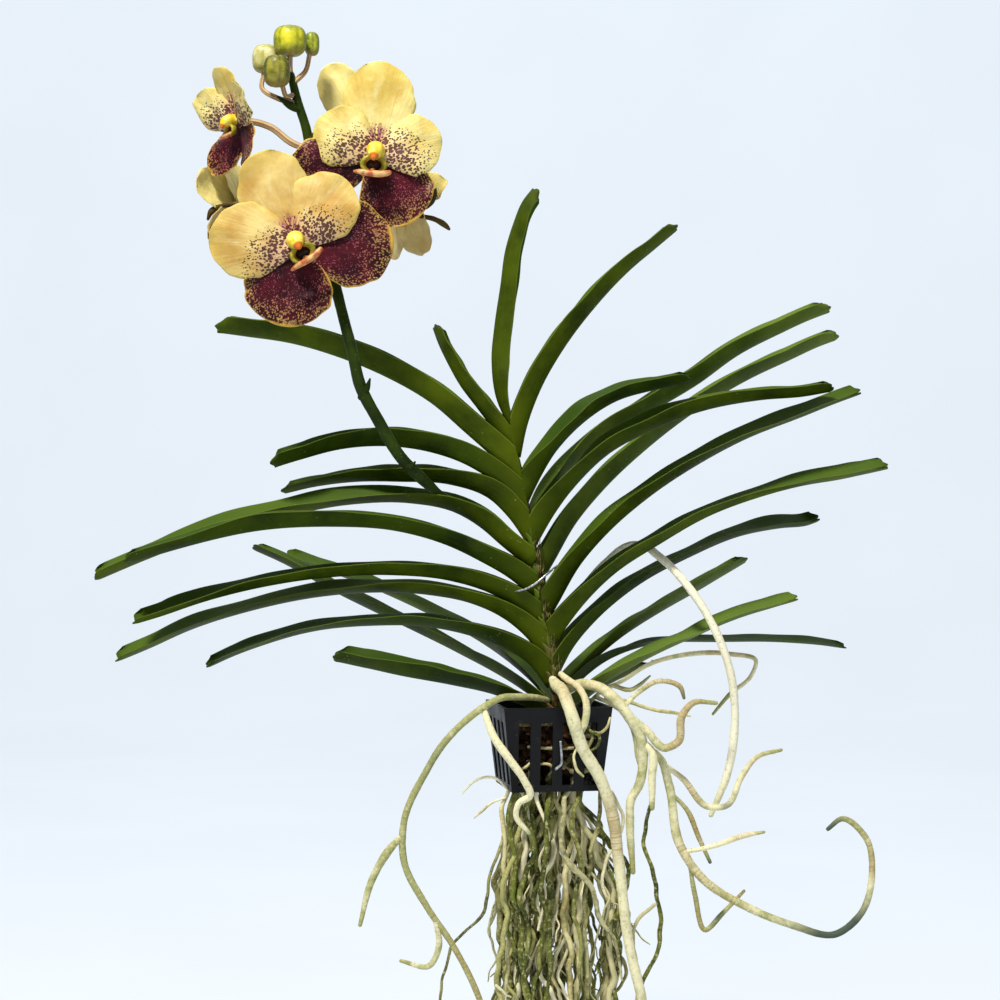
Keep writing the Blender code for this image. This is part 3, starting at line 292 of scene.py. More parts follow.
# Where a branch is flushed brown, or grey if minus: the share of its length, how far that
# spreads and how strongly
ROOT_FLUSHES = {
    ("root_main", 0): ((0.38, 0.06, 0.6),),
    ("root_left", 0): ((0.75, 0.1, 0.3), (0.3, 0.05, -0.3)),
    ("root_right", 1): ((0.62, 0.2, 0.8),),
    ("root_right", 3): ((0.3, 0.1, 0.3), (0.66, 0.09, -1.3), (0.84, 0.05, 0.5), (1, 0.04, -1)),
    ("root_right", 4): ((0.22, 0.12, 0.5), (0.5, 0.05, -0.6), (0.8, 0.15, 0.25)),
    ("root_right", 5): ((0.6, 0.3, 0.5), (1, 0.08, -0.9)),
    ("root_right", 6): ((0.75, 0.15, 0.35),),
    ("root_right", 7): ((0.45, 0.2, 0.3), (0.68, 0.07, -0.7), (0.95, 0.1, 0.5)),
    ("root_right", 8): ((0.65, 0.25, 0.3), (1, 0.08, -0.8)),
}
ROOT_SIDES = 12
ROOT_KNOBS = 0.06
ROOT_TIP_FROM = 0.86

# Curtain of roots below the basket: the strands that the solids have, finer ones between them
# and side roots. Lengths are in millimetres unless they say MM.
CURTAIN_COUNT = 22
CURTAIN_TOP = -34 * MM
CURTAIN_LENGTH = (170, 255)
CURTAIN_ACROSS = (-32, 42)
CURTAIN_DEEP = 17
CURTAIN_RADIUS = (1.4, 2.0)
CURTAIN_WAVER = 5.5
CURTAIN_STEPS = (0.12, 0.25, 0.4, 0.55, 0.7, 0.85, 1)
CURTAIN_SPREAD_BY = 0.25
CURTAIN_ROW_JITTER = 4
STRAND_STEP = 2.4 * MM
STRAND_SIDES = 8
STRAND_TIP = 0.4
STRAND_BELOW = 3
FINE_ABOVE = 9
FINE_CLEAR = 1
FINE_COUNT = 84
FINE_RADIUS = (0.7, 1.7)
FINE_LENGTH = (90, 250)
FINE_WAVER = 9
FINE_STEP = 22
FINE_SPREAD_BY = 50
FINE_TAPER = 0.55
SIDE_RADIUS = 0.9 * MM
SIDE_STEPS = 6
SIDE_ROWS = 16
SIDE_SHARE = 0.6
SIDE_TAPER = 0.12
SIDE_TURN = 0.7
SIDE_REACH = (3.5 * MM, 2.5 * MM)
SIDE_DROP = (-7 * MM, -1 * MM)
SIDE_COUNT = 110
KINK = 0.8 * MM
KINK_WAVES = (11, 17, 27, 43)
KINK_FULL_AT = 30
KINK_CALM = 12 * MM
# Swellings of a root: how many millimetres apart and how much of the whole
KNOB_WAVES = ((31, 0.45), (13, 0.35), (5.3, 0.25))
STRAND_KNOBS = 0.12
FRONT_THIN = 0.74
# The group that each hanging root is in, over and over
CURTAIN_GROUPS = ("olive", "grey", "olive", "pale", "grey", "pale", "olive")
# Roots that stand out in front: group, then points with depth and thickness in pixels
FRONT_ROOTS = (
    ("pale", ((512, 781, -14, 4), (505, 800, -18, 6), (504, 845, -22, 6.5), (505, 890, -23, 7),
              (509, 955, -22, 6), (503, 1000, -21, 5), (500, 1060, -20, 3))),
    ("olive", ((516, 784, -16, 5), (511, 805, -22, 6), (509, 825, -25, 6.5), (515, 862, -26, 7),
               (514, 895, -27, 7), (521, 925, -26, 7.5), (522, 960, -25, 7), (530, 1010, -24, 6),
               (534, 1080, -22, 3))),
    ("olive", ((534, 786, -18, 6), (525, 812, -25, 7), (532, 835, -28, 8), (535, 852, -28, 8),
               (525, 872, -28, 7.5), (521, 895, -28, 7), (528, 930, -27, 6), (524, 975, -25, 5),
               (531, 1040, -23, 3))),
    ("pale", ((538, 780, -20, 5), (537, 796, -25, 6), (543, 815, -26, 5), (547, 836, -27, 4.5),
              (541, 860, -27, 4), (545, 890, -26, 4), (538, 930, -25, 3))),
    ("olive", ((553, 784, -20, 6), (549, 806, -26, 6.5), (545, 831, -29, 7), (546, 860, -30, 7),
               (541, 891, -29, 7), (547, 917, -28, 6.5), (551, 945, -27, 6), (546, 1000, -25, 5),
               (550, 1070, -22, 3))),
    ("grey", ((574, 782, -17, 6), (565, 801, -24, 7), (562, 822, -28, 7.5), (562, 846, -30, 8),
              (571, 866, -31, 8), (585, 878, -30, 7.5), (593, 896, -29, 7), (601, 918, -27, 6),
              (613, 938, -25, 5), (622, 980, -23, 3))),
    ("olive", ((586, 784, -14, 5), (578, 797, -22, 6), (573, 816, -27, 6), (576, 842, -29, 6.5),
               (581, 868, -28, 6), (574, 905, -27, 6), (581, 950, -25, 5), (577, 1010, -23, 3))),
    ("grey", ((600, 786, -10, 5), (599, 824, -18, 6), (592, 846, -21, 6), (589, 871, -22, 6.5),
              (586, 897, -22, 6.5), (584, 927, -21, 6), (588, 970, -20, 6), (583, 1030, -19, 4))),
    ("olive", ((650, 806, -25, 5), (646, 822, -24, 5), (645, 842, -23, 5.5), (650, 865, -23, 5.5),
               (657, 894, -22, 6), (661, 917, -22, 6), (657, 950, -21, 6), (645, 980, -20, 5.5),
               (642, 1020, -20, 5), (647, 1070, -20, 3))),
    ("grey", ((654, 905, -22, 5), (643, 915, -20, 5), (634, 932, -19, 5), (633, 952, -18, 5),
              (639, 975, -18, 4), (636, 1000, -18, 3))),
    ("grey", ((504, 832, -22, 4), (497, 856, -25, 4), (488, 887, -26, 4.5), (484, 911, -26, 4.5),
              (469, 928, -25, 4), (455, 943, -24, 4), (446, 962, -23, 4), (441, 1000, -22, 3.5),
              (443, 1030, -22, 2))),
    ("pale", ((508, 790, -17, 3), (492, 777, -19, 3.5), (475, 781, -19, 3.5), (462, 794, -18, 2))),
    ("pale", ((505, 798, -19, 3), (491, 803, -20, 3.5), (482, 811, -20, 3.5), (474, 818, -19, 2))),
    ("pale", ((612, 792, -6, 4), (622, 812, -8, 5), (618, 838, -10, 5), (606, 862, -12, 5),
              (603, 880, -13, 5), (607, 905, -13, 4), (603, 935, -12, 3))),
)
# Small roots round the basket's rim and slats, drawn the same way
RIM_ROOTS = (
    ("pale", ((594, 732, -34, 3), (600, 733, -36, 4), (606, 728, -37, 4), (610, 718, -37, 3))),
    ("olive", ((583, 722, -34, 3), (590, 730, -37, 4), (600, 736, -38, 4), (597, 745, -38, 3.5),
               (588, 751, -37, 3.5), (578, 746, -35, 3))),
    ("grey", ((588, 726, -34, 3), (592, 738, -37, 4), (587, 750, -38, 4), (592, 762, -36, 3))),
    ("pale", ((577, 748, -36, 3), (573, 757, -37, 3.5), (575, 768, -37, 4), (583, 776, -36, 3.5))),
    ("pale", ((520, 769, -26, 3), (526, 767, -27, 4), (531, 762, -26, 3))),
    ("pale", ((540, 764, -27, 3), (548, 764, -28, 4), (557, 769, -26, 3))),
    ("pale", ((602, 692, -8, 6), (612, 686, -5, 6.5), (628, 690, -4, 6), (641, 684, -2, 5),
              (650, 676, 0, 3))),
    ("pale", ((606, 698, -6, 5), (630, 702, -4, 5.5), (654, 710, -3, 5), (676, 713, -2, 4.5),
              (690, 716, -1, 3))),
    ("grey", ((596, 697, 2, 6), (611, 704, 6, 6), (626, 716, 8, 6), (634, 740, 8, 5), (640, 768, 8, 4))),
)
CORE_TOP = -14 * MM
SEED = 7

# Flower spike: points with depth and thickness in pixels
SPIKE = (
    (531, 560, 0, 3), (522, 553, 0, 3.8), (508, 541, 0.6, 5), (494, 530, 1, 6), (478, 516, 2, 7.2),
    (455, 503, 3, 8.5), (440, 495, -1, 9), (430, 486, -8, 10.5), (420, 477, -13, 12),
    (403, 460, -17, 12), (378, 420, -18, 12), (360, 385, -18, 12), (353, 355, -18, 11.5),
    (344, 320, -15, 11), (334, 280, -11, 11), (322, 225, -5, 10), (312, 170, -1, 10),
    (306, 128, 0, 9.5), (298, 103, -1, 9), (291, 75, -2, 7.5),
)
BRACTS = (
    ((361, 397, -18, 7), (366, 390, -20, 7), (370, 379, -22, 2)),
    ((405, 466, -17, 6), (411, 467, -20, 6), (415, 462, -22, 2)),
    ((303, 112, -1, 5), (291, 106, -4, 8), (278, 97, -6, 2)),
    ((310, 140, 0, 5), (318, 132, -1, 8), (322, 120, -2, 2)),
)
SPIKE_STEP = 2.5 * MM
SPIKE_SIDES = 16
STALK_ROWS = 26
STALK_SIDES = 24
STALK_RIBS = 6
RIB_DEPTH = 0.1
BRACT_ROWS = 12
DRY_ROWS = 30
SPIKE_KNOBS = 0.03
DRY_KNOBS = 0.12
# How far behind the middle of its bloom a stalk turns square to it
STALK_BEND = 6 * MM
SEAT_GAP = 0.5 * MM

# Dried bracts and stalks behind the blooms, drawn the same way
DRY_BITS = (
    ((398, 206, 18, 4), (408, 211, 14, 4.5), (420, 216, 10, 4.5), (434, 219, 8, 5.5), (446, 226, 7, 5),
     (449, 229, 7, 3)),
    ((402, 204, 18, 4), (416, 209, 12, 6), (428, 204, 10, 8), (434, 194, 10, 7), (436, 189, 10, 2)),
    ((236, 206, 12, 4), (222, 206, 8, 5), (211, 212, 6, 6), (208, 219, 6, 3)),
    ((236, 214, 12, 4), (221, 220, 8, 5), (211, 230, 6, 6), (209, 238, 6, 3)),
)

# Buds: middle with depth, width and height in pixels, and the stalk that reaches it
BUDS = {
    "bud_top": dict(at=(290, 41, -2), size=(33, 31), stalk=((291, 80, -2, 6), (290, 68, -2, 5))),
    "bud_right": dict(at=(312, 44, 9), size=(15, 24), stalk=((294, 82, -2, 6), (306, 70, 5, 4.5))),
    "bud_left": dict(at=(266, 59, 5), size=(28, 29),
                     stalk=((300, 104, -1, 6), (277, 98, -2, 5.5), (262, 88, 1, 4.5))),
    "bud_low": dict(at=(277, 71, -11), size=(27, 32), stalk=((296, 94, -1, 6), (286, 96, -6, 4.5))),
}
BUD_RINGS = 27
BUD_SIDES = 45
BUD_PANELS = 5
BUD_TURNS = {"bud_top": 0.0, "bud_right": 0.4, "bud_left": -0.5, "bud_low": 0.3}
# Each bud's dark, light and groove green; the groove green is also painted as shade on the sides that turn
# away from the front
BUD_COLOURS = {
    "bud_top": ("#989c14", "#d3cd2e", "#586a0c"), "bud_right": ("#667412", "#9fa82c", "#3d5008"),
    "bud_left": ("#bab66e", "#e4deaa", "#878e34"), "bud_low": ("#5e5e16", "#9c963a", "#3f4a0c"),
}
BUD_GROOVE = 0.08
BUD_POLE_GROOVE = 0.06
BUD_SQUARE = 2.9
POLE_ANGLE = 0.04

# Blooms: where the middle stands and which way it faces, then each blade's direction in
# degrees, its length and its width in millimetres: upper sepal, two petals, two lateral
# sepals. cup is how far the tips stand forward, stalk is what reaches the bloom, and roll
# turns the lip about the bloom's axis.
BLOOMS = {
    "bloom_1": dict(
        at=(298, 244, -38), faces=(0, -1, 0), cup=5, roll=30,
        blades=((114, 58, 43), (55, 47, 43), (177, 52, 45), (0, 56, 51), (-102, 49, 53)),
        stalk=((328, 250, -8, 6), (316, 245, -17, 5.5))),
    "bloom_2": dict(
        at=(376, 155, -28), faces=(0, -1, 0), cup=5, roll=-8,
        blades=((87, 55, 43), (15, 40, 37), (152, 40, 37), (-62, 45, 46), (194, 53, 38)),
        stalk=((311, 165, -1, 6), (340, 156, -6, 5))),
    "bloom_3": dict(
        at=(238, 122, -9), faces=(-0.8, -0.58, -0.12), cup=14, roll=0,
        blades=((92, 33, 27), (30, 32, 26), (150, 33, 26), (-52, 34, 28), (-128, 35, 28)),
        stalk=((309, 150, 0, 6), (292, 143, 0, 7), (270, 127, 0, 7))),
    "bloom_4": dict(
        at=(240, 205, 22), faces=(-0.85, 0.5, -0.1), cup=12, roll=0,
        blades=((90, 33, 24), (28, 34, 26), (152, 34, 26), (-52, 32, 28), (-128, 32, 28)),
        stalk=((317, 210, -4, 6), (290, 207, 4, 5), (268, 207, 8, 5.5))),
    "bloom_5": dict(
        at=(362, 128, 30), faces=(0.05, 1, 0.15), cup=6, roll=0,
        blades=((61, 44, 28), (-5, 26, 24), (128, 34, 30), (-68, 34, 34), (215, 34, 34)),
        stalk=((308, 142, 0, 6), (330, 136, 5, 5))),
    "bloom_6": dict(
        at=(404, 200, 24), faces=(0.75, 0.62, -0.1), cup=12, roll=0,
        blades=((88, 32, 17), (24, 28, 21), (156, 28, 21), (-62, 38, 26), (-118, 38, 26)),
        stalk=((320, 220, -4, 6), (350, 214, 4, 5), (380, 204, 10, 5.5))),
}
BLADE_THICK = 0.9 * MM
BLADE_ROWS = 30
BLADE_COLUMNS = 25
# How much the blade's rows crowd towards its ends, and how evenly its columns lie
BLADE_CROWD = 0.35
BLADE_SPREAD = 0.85
# How pointed tips are, from the least to the most round
BLADE_TIPS = (0.5, 0.62)
BLADE_WAIST = 0.28
BLADE_PEAK = 0.56
BLADE_TIP_SHARE = 0.4
BLADE_RAGGED = 0.06
RAGGED_WAVES = ((1.3, 0.6), (2.9, 0.6), (5.3, 0.4))
BLADE_RUFFLE = 1.8 * MM
RUFFLE_WAVES = ((1.2, 0.7), (2.4, 0.5), (4.3, 0.25))
BLADE_SWELL = 1.2 * MM
BLADE_TILT = 0.14
BLADE_GROOVE = 0.7 * MM
BLADE_GROOVE_HALF = 0.09
BLADE_REFLEX = 5 * MM
# How far forward each blade starts, and how far it bulges forward
BLADE_HEIGHTS = (-0.5 * MM, 0.62 * MM, 0.62 * MM, -2.25 * MM, -2.25 * MM)
PUFFS = (1.2 * MM, 3 * MM, 3 * MM, 1.2 * MM, 1.2 * MM)
# How far from the middle spots reach, at the least and at the most, and the pink patch
SPOTS_REACH = (19 * MM, 40 * MM)
BLUSH_REACH = 24 * MM
HUB_RADIUS = 3.6 * MM
HUB_SIDES = 20
HUB_VALUES = {"reach": 0.0, "spotting": 0.8, "blush": 0.0}
# Lip, in millimetres: rows of ahead, down and radius for the column and the tongue, and rows of
# radius, height and part for the cup, where part 1 is the outside and 3 the inside
COLUMN = ((0, -1.8, 5.4), (3, -1.8, 5.3), (6, -1.6, 5.4), (8.5, -0.9, 5.0), (10.6, 0.6, 4.2),
          (12.2, 2.2, 3.1), (13.2, 3.6, 1.9))
CUP = ((0.4, -0.4, 1), (3.6, 0.2, 1), (6.0, 1.6, 1), (7.6, 4.2, 1), (8.0, 6.2, 1), (7.5, 7.3, 1),
       (6.6, 7.6, 1), (5.6, 7.0, 1), (4.9, 5.8, 1.4), (4.4, 4.2, 3), (2.6, 2.4, 3), (0.3, 1.8, 3))
CUP_SIDES = 36
CUP_SQUASH = 0.76
CUP_DOWN = -7.0 * MM
TONGUE = ((4.5, 10.5, 1.9), (8, 11.8, 1.7), (11, 12.6, 1.7), (12.6, 13, 1.6))
# The bar across the tongue's tip, bent back and thinner toward its ends
BAR_STEPS = 5
BAR_HALF = 10 * MM
BAR_RADIUS = 1.9
BAR_BACK = 1.6
BAR_THIN = 0.7
BAR_UNEVEN = 0.3
# The length in millimetres of a bloom's upper sepal from which its lip has its full size
LIP_FULL_FOR = 50
WARM_BLOOM = "bloom_1"
YELLOW = (-1.0 * MM, 2.2 * MM)
DARK = (-3.0 * MM, -1.5 * MM)

# Wires: the hook on a front slat and the tie round the stem
WIRES = {
    "wire_hook": dict(thick=1.7 * MM, places=(
        (560.6, 742, -30.8), (561.5, 755, -30.2), (561, 764, -29.8), (556, 769, -29.6))),
    "tie_wire": dict(thick=1.4 * MM, places=(
        (510, 590, -3.4), (518, 591, -7.6), (528, 588, -9.6), (540, 580, -9.8), (550, 571.5, -7.0),
        (557, 566, -2))),
}

# Bark in the basket
BARK_COUNT = 210
BARK_TOP = ((-20, -18), (-14, -19), (-17, -12), (-8, -18), (-20, -10), (-12, -8), (-19, -2), (-19, 6))
BARK_SIZE = (4 * MM, 8 * MM)
CORE_SIZE = 33 * MM
CORE_LEVELS = (-37 * MM, -24 * MM)
PACKED_COUNT = 17
PACKED_RADIUS = (0.9 * MM, 1.8 * MM)
PACKED_STEPS = 6
PACKED_TURN = 0.35
PACKED_BEND = 0.3
PACKED_CLIMB = 6 * MM
PACKED_JOLT = 3 * MM
PACKED_KNOBS = 0.15
PACKED_INSET = 3 * MM
# A chip's length, width and height as shares of its size, and how flat its sides are
CHIP_STRETCH = ((0.7, 1.3), (0.6, 1.1), (0.4, 0.8))
CHIP_FLAT = 0.36
CHIP_ROUGH = 0.12

# Stage
FLOOR_LEVEL = -0.306
SWEEP_FROM = 2.6
SWEEP_RADIUS = 1.0
SWEEP_STEPS = 12
STAGE_HALF = 6.0
STAGE_FRONT = -5.0
STAGE_TOP = 5.0
BACKDROP_GLOW = (0.86, 0.93, 1.0, 1)
BACKDROP_STRENGTH = 0.66
WORLD_COLOUR = (0.9, 0.93, 1.0, 1)
WORLD_STRENGTH = 0.22
# A high key from the left, a wide fill and one lamp for the backdrop
LAMP_AIM = (-0.03, 0, 0.12)
LAMPS = {
    "key": dict(place=(-0.55, -1.0, 1.75), size=0.26, power=50, tint=(1.0, 0.95, 0.86)),
    "fill": dict(place=(1.4, -1.6, 0.5), size=1.6, power=5, tint=(0.95, 0.97, 1.0)),
    "backdrop_light": dict(place=(0.0, 1.2, 3.0), aim=(0, 3.2, 0.6), size=2.5, power=51),
}


# Curves and meshes
# The angles in degrees of the rings that close a tube's end
ROUND_END = (75, 50, 25)


def seen(across, down, depth=0.0):
    """The place in metres that the photograph shows at a pixel, depth millimetres back."""
    spread = PIXEL * (depth * MM - EYE[1]) / -EYE[1]
    return (EYE[0] + (across - PHOTO_MIDDLE) * spread, depth * MM,
            EYE[2] + (PHOTO_MIDDLE - down) * spread)


def distances(rows):
    """How far along the line through the rows each of them lies."""
    steps = np.linalg.norm(np.diff(np.array(rows)[:, :3], axis=0), axis=1)
    return np.concatenate([[0], np.cumsum(steps)])


def smooth(rows, count):
    """count rows, evenly spaced along a smooth curve through the given rows."""
    rows = np.array(rows, float)
    knots = distances(rows)
    slopes = np.gradient(rows, knots, axis=0)
    where = np.linspace(0, knots[-1], count)
    i = np.clip(np.searchsorted(knots, where, side="right") - 1, 0, len(knots) - 2)
    span = (knots[i + 1] - knots[i])[:, None]
    u = (where - knots[i])[:, None] / span
    start = (2 * u**3 - 3 * u**2 + 1) * rows[i] + (u**3 - 2 * u**2 + u) * span * slopes[i]
    end = (3 * u**2 - 2 * u**3) * rows[i + 1] + (u**3 - u**2) * span * slopes[i + 1]
    return start + end


def spaced(rows, step, least=2):
    """Rows about a step apart on a smooth curve through the given rows."""
    return smooth(rows, max(least, round(float(distances(rows)[-1]) / step)))


def traced(points):
    """Rows of place and radius from a route's points in the photograph."""
    return [(*seen(*place), thick * PIXEL / 2) for *place, thick in points]


def unit(vectors):
    """Each row scaled to length one."""
    return vectors / np.linalg.norm(vectors, axis=-1, keepdims=True)


def waves(along, table, phases, shift):
    """A sum of waves: the turns and the size of each, and where it starts."""
    return sum(size * np.sin(2 * math.pi * turns * along + phase + shift)
               for (turns, size), phase in zip(table, phases))


def grid_faces(rows, columns, loop=False):
    """Four-sided faces of a grid of points, closed round its columns if it is a loop."""
    row = np.arange(rows - 1)[:, None]
    column = np.arange(columns if loop else columns - 1)[None]
    after = (column + 1) % columns
    corners = (row * columns + column, row * columns + after,
               (row + 1) * columns + after, (row + 1) * columns + column)
    return np.stack(corners, -1).reshape(-1, 4).tolist()


def tube_faces(rings, sides):
    """Faces of a row of rings, closed at both ends."""
    ends = (0, (rings - 1) * sides)
    return grid_faces(rings, sides, loop=True) + [[end + k for k in range(sides)] for end in ends]


def ring_turns(sides):
    """The angles at which a ring's points lie."""
    return np.arange(sides) * 2 * math.pi / sides


def ring(middle, wide, deep, turns):
    """A level ring of points round a middle."""
    x, y, z = middle
    return np.stack([x + wide * np.cos(turns), y + deep * np.sin(turns), z + 0 * turns], 1)


class Shape:
    """Points, faces and the three values that each point gives to its material."""

    def __init__(self, points=(), values=(), faces=()):
        self.points = [np.asarray(points, float).reshape(-1, 3)]
        self.values = [np.asarray(values, float).reshape(-1, 3)]
        self.faces = list(faces)
        self.count = len(self.points[0])

    def turned(self, matrix):
        """The same shape moved by a matrix."""
        turn = np.array(matrix)
        self.points = [p @ turn[:3, :3].T + turn[:3, 3] for p in self.points]
        return self

    def join(self, other):
        """Take in another shape."""
        self.points += other.points
        self.values += other.values
        self.faces += [[i + self.count for i in face] for face in other.faces]
        self.count += other.count


def add_object(name, data):
    """A new object in the scene."""
    made = bpy.data.objects.new(name, data)
    bpy.context.scene.collection.objects.link(made)
    return made


def carry(mesh, name, kind, values):
    """Give every point of a mesh a value that its material can read."""
    layer = mesh.attributes.new(name, kind, "POINT")
    key = "vector" if kind == "FLOAT_VECTOR" else "value"
    layer.data.foreach_set(key, np.concatenate(values).astype(np.float32).ravel())


def put(name, shape, material, slot, *nodes):
    """Make an object of a shape, which rides with the plant and stands for CAD nodes."""
    mesh = bpy.data.meshes.new(name)
    mesh.from_pydata(np.concatenate(shape.points).tolist(), [], shape.faces)
    carry(mesh, "grown", "FLOAT_VECTOR", shape.values)
    work = bmesh.new()
    work.from_mesh(mesh)
    bmesh.ops.recalc_face_normals(work, faces=work.faces)
    work.to_mesh(mesh)
    work.free()
    mesh.shade_smooth()
    mesh.materials.append(material)
    piece = add_object(name, mesh)
    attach(piece, "root")
    if nodes:
        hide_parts(*nodes)
    return piece


def shell(front, back, values):
    """A thin closed blade between two grids of points."""
    rows, columns = front.shape[:2]
    half = rows * columns
    faces = grid_faces(rows, columns)
    faces += [[i + half for i in reversed(face)] for face in faces]
    edge = list(range(columns))
    edge += [row * columns + columns - 1 for row in range(1, rows)]
    edge += [(rows - 1) * columns + column for column in range(columns - 2, -1, -1)]
    edge += [row * columns for row in range(rows - 2, 0, -1)]
    for this, following in zip(edge, edge[1:] + edge[:1]):
        faces.append([this, following, following + half, this + half])
    return Shape([front, back], values, faces)


def tube(rows, sides, ribs=0, rib_depth=0.0, tint=0.0, flush=0.0, round_ends=True):
    """A stalk or root along rows of place and radius. Values: how far along, rib or flush, tint."""
    rows = np.array(rows, float)
    tints, flushes = (np.broadcast_to(np.asarray(k, float), len(rows)) for k in (tint, flush))
    if round_ends:
        rows = with_round_ends(rows)
        tints, flushes = (np.pad(k, len(ROUND_END), mode="edge") for k in (tints, flushes))
    places, radii = rows[:, :3], rows[:, 3]
    along = unit(np.gradient(places, axis=0))
    side = np.cross(along[0], (0, 0, 1) if abs(along[0][2]) < 0.9 else (0, 1, 0))
    turns = ring_turns(sides)
    rib = np.cos(ribs * turns) if ribs else np.zeros(sides)
    swell = (1 + rib_depth * rib)[:, None]
    points, values = [], []
    for place, radius, way, far, shade, red in zip(places, radii, along, distances(rows), tints, flushes):
        side = unit(side - np.dot(side, way) * way)
        other = np.cross(way, side)
        out = np.cos(turns)[:, None] * side + np.sin(turns)[:, None] * other
        points.append(place + radius * swell * out)
        values.append(np.stack([np.full(sides, far), rib + red, np.full(sides, shade)], 1))
    return Shape(points, values, tube_faces(len(rows), sides))


def with_round_ends(rows):
    """The rows with more at each end, which close it as a half ball."""
    ways = unit(np.diff(rows[:, :3], axis=0))
    first, last = [], []
    for angle in ROUND_END:
        out, ring = math.sin(math.radians(angle)), math.cos(math.radians(angle))
        first.append([*(rows[0, :3] - ways[0] * rows[0, 3] * out), rows[0, 3] * ring])
        last.append([*(rows[-1, :3] + ways[-1] * rows[-1, 3] * out), rows[-1, 3] * ring])
    return np.concatenate([first, rows, last[::-1]])


def knobbly(rows, draw, amount):
    """Rows whose radius swells and shrinks a little at random."""
    rows = np.array(rows)
    far = distances(rows)
    swell = 0
    for wave, share in KNOB_WAVES:
        swell = swell + share * np.sin(far / (wave * MM) * 2 * math.pi + draw.uniform(0, 7))
    rows[:, 3] *= 1 + amount * swell
    return rows


# Materials

class Value:
    """What a node gives out. It adds and multiplies as a number does."""

    def __init__(self, look, socket):
        self.look = look
        self.socket = socket

    def __add__(self, other):
        return self.look.math("ADD", self, other)

    def __sub__(self, other):
        return self.look.math("SUBTRACT", self, other)

    def __rsub__(self, other):
        return self.look.math("SUBTRACT", other, self)

    def __mul__(self, other):
        return self.look.math("MULTIPLY", self, other)

    def __truediv__(self, other):
        return self.look.math("DIVIDE", self, other)

    def __abs__(self):
        return self.look.math("ABSOLUTE", self)

    def ramp(self, low, high, end=1.0, start=0.0, soft=True):
        """Map low..high to start..end, held beyond."""
        inputs = {"Value": self, "From Min": low, "From Max": high, "To Min": start, "To Max": end}
        kind = "SMOOTHSTEP" if soft else "LINEAR"
        return self.look.node("MapRange", "Result", inputs, interpolation_type=kind)


class Look:
    """A material, painted one colour over another. A colour is a value or a hex string."""

    def __init__(self, name, base, rough, specular, metal=0.0):
        self.material = bpy.data.materials.new(name)
        self.material.use_nodes = True
        self.tree = self.material.node_tree
        self.shader = self.tree.nodes["Principled BSDF"].inputs
        self.shader["Roughness"].default_value = rough
        self.shader["Specular IOR Level"].default_value = specular
        self.shader["Metallic"].default_value = metal
        self.base = base
        self.place = self.node("TexCoord", "Object")

    def feed(self, socket, value):
        """Link a value to a socket, or set the socket to a number."""
        if isinstance(value, Value):
            self.tree.links.new(value.socket, socket)
        else:
            socket.default_value = value

    def node(self, kind, output, inputs=(), **settings):
        """Add a node, fill its inputs and take one of its outputs."""
        made = self.tree.nodes.new("ShaderNode" + kind)
        for key, value in settings.items():
            setattr(made, key, value)
        for key, value in dict(inputs).items():
            self.feed(made.inputs[key], value)
        return Value(self, made.outputs[output])

    def math(self, operation, a, b=0.0, clamp=False):
        return self.node("Math", 0, {0: a, 1: b}, operation=operation, use_clamp=clamp)

    def split(self, vector):
        """The three parts of a vector."""
        made = self.tree.nodes.new("ShaderNodeSeparateXYZ")
        self.feed(made.inputs["Vector"], vector)
        return [Value(self, part) for part in made.outputs]

    def grown(self):
        """The three values that every mesh's points carry."""
        return self.split(self.node("Attribute", "Vector", attribute_name="grown"))

    def carried(self, name):
        """One more value that the points of petals and sepals carry."""
        return self.node("Attribute", "Fac", attribute_name=name)

    def vector(self, x=0.0, y=0.0, z=0.0):
        return self.node("CombineXYZ", 0, {0: x, 1: y, 2: z})

    def noise(self, scale, detail=3.0, rough=0.5, over=None):
        """Cloudy noise over the place in the object, or over another vector."""
        inputs = {"Vector": over or self.place, "Scale": scale, "Detail": detail, "Roughness": rough}
        return self.node("TexNoise", "Fac", inputs)

    def streaks(self, parts, detail=3.0, rough=0.5):
        """Noise over one to three values, finer along the larger ones."""
        return self.noise(1.0, detail, rough, self.vector(*parts))

    def cells(self, scale, over=None, scatter=1.0):
        """How far it is to the middle of the nearest of many cells."""
        inputs = {"Vector": over or self.place, "Scale": scale, "Randomness": scatter}
        return self.node("TexVoronoi", "Distance", inputs)

    def mix(self, share, a, b):
        """Mix two colours."""
        a, b = (colour(c) if isinstance(c, str) else c for c in (a, b))
        return self.node("Mix", 2, {0: share, 6: a, 7: b}, data_type="RGBA")

    def paint(self, tint, share):
        """Lay a share of a colour over what is there."""
        self.base = self.mix(share, self.base, tint)

    def finish(self, height=None, distance=0.0, strength=1.0, rough=None):
        """Link the colour, and if given the height of the bumps and the roughness."""
        self.feed(self.shader["Base Color"], self.base)
        if rough is not None:
            self.feed(self.shader["Roughness"], rough)
        if height is not None:
            inputs = {"Height": height, "Distance": distance, "Strength": strength}
            self.feed(self.shader["Normal"], self.node("Bump", "Normal", inputs))
        return self.material


def colour(text):
    """The linear colour of a hex string."""
    values = [int(text[i:i + 2], 16) / 255 for i in (1, 3, 5)]
    return (*(v / 12.92 if v <= 0.04045 else ((v + 0.055) / 1.055) ** 2.4 for v in values), 1)


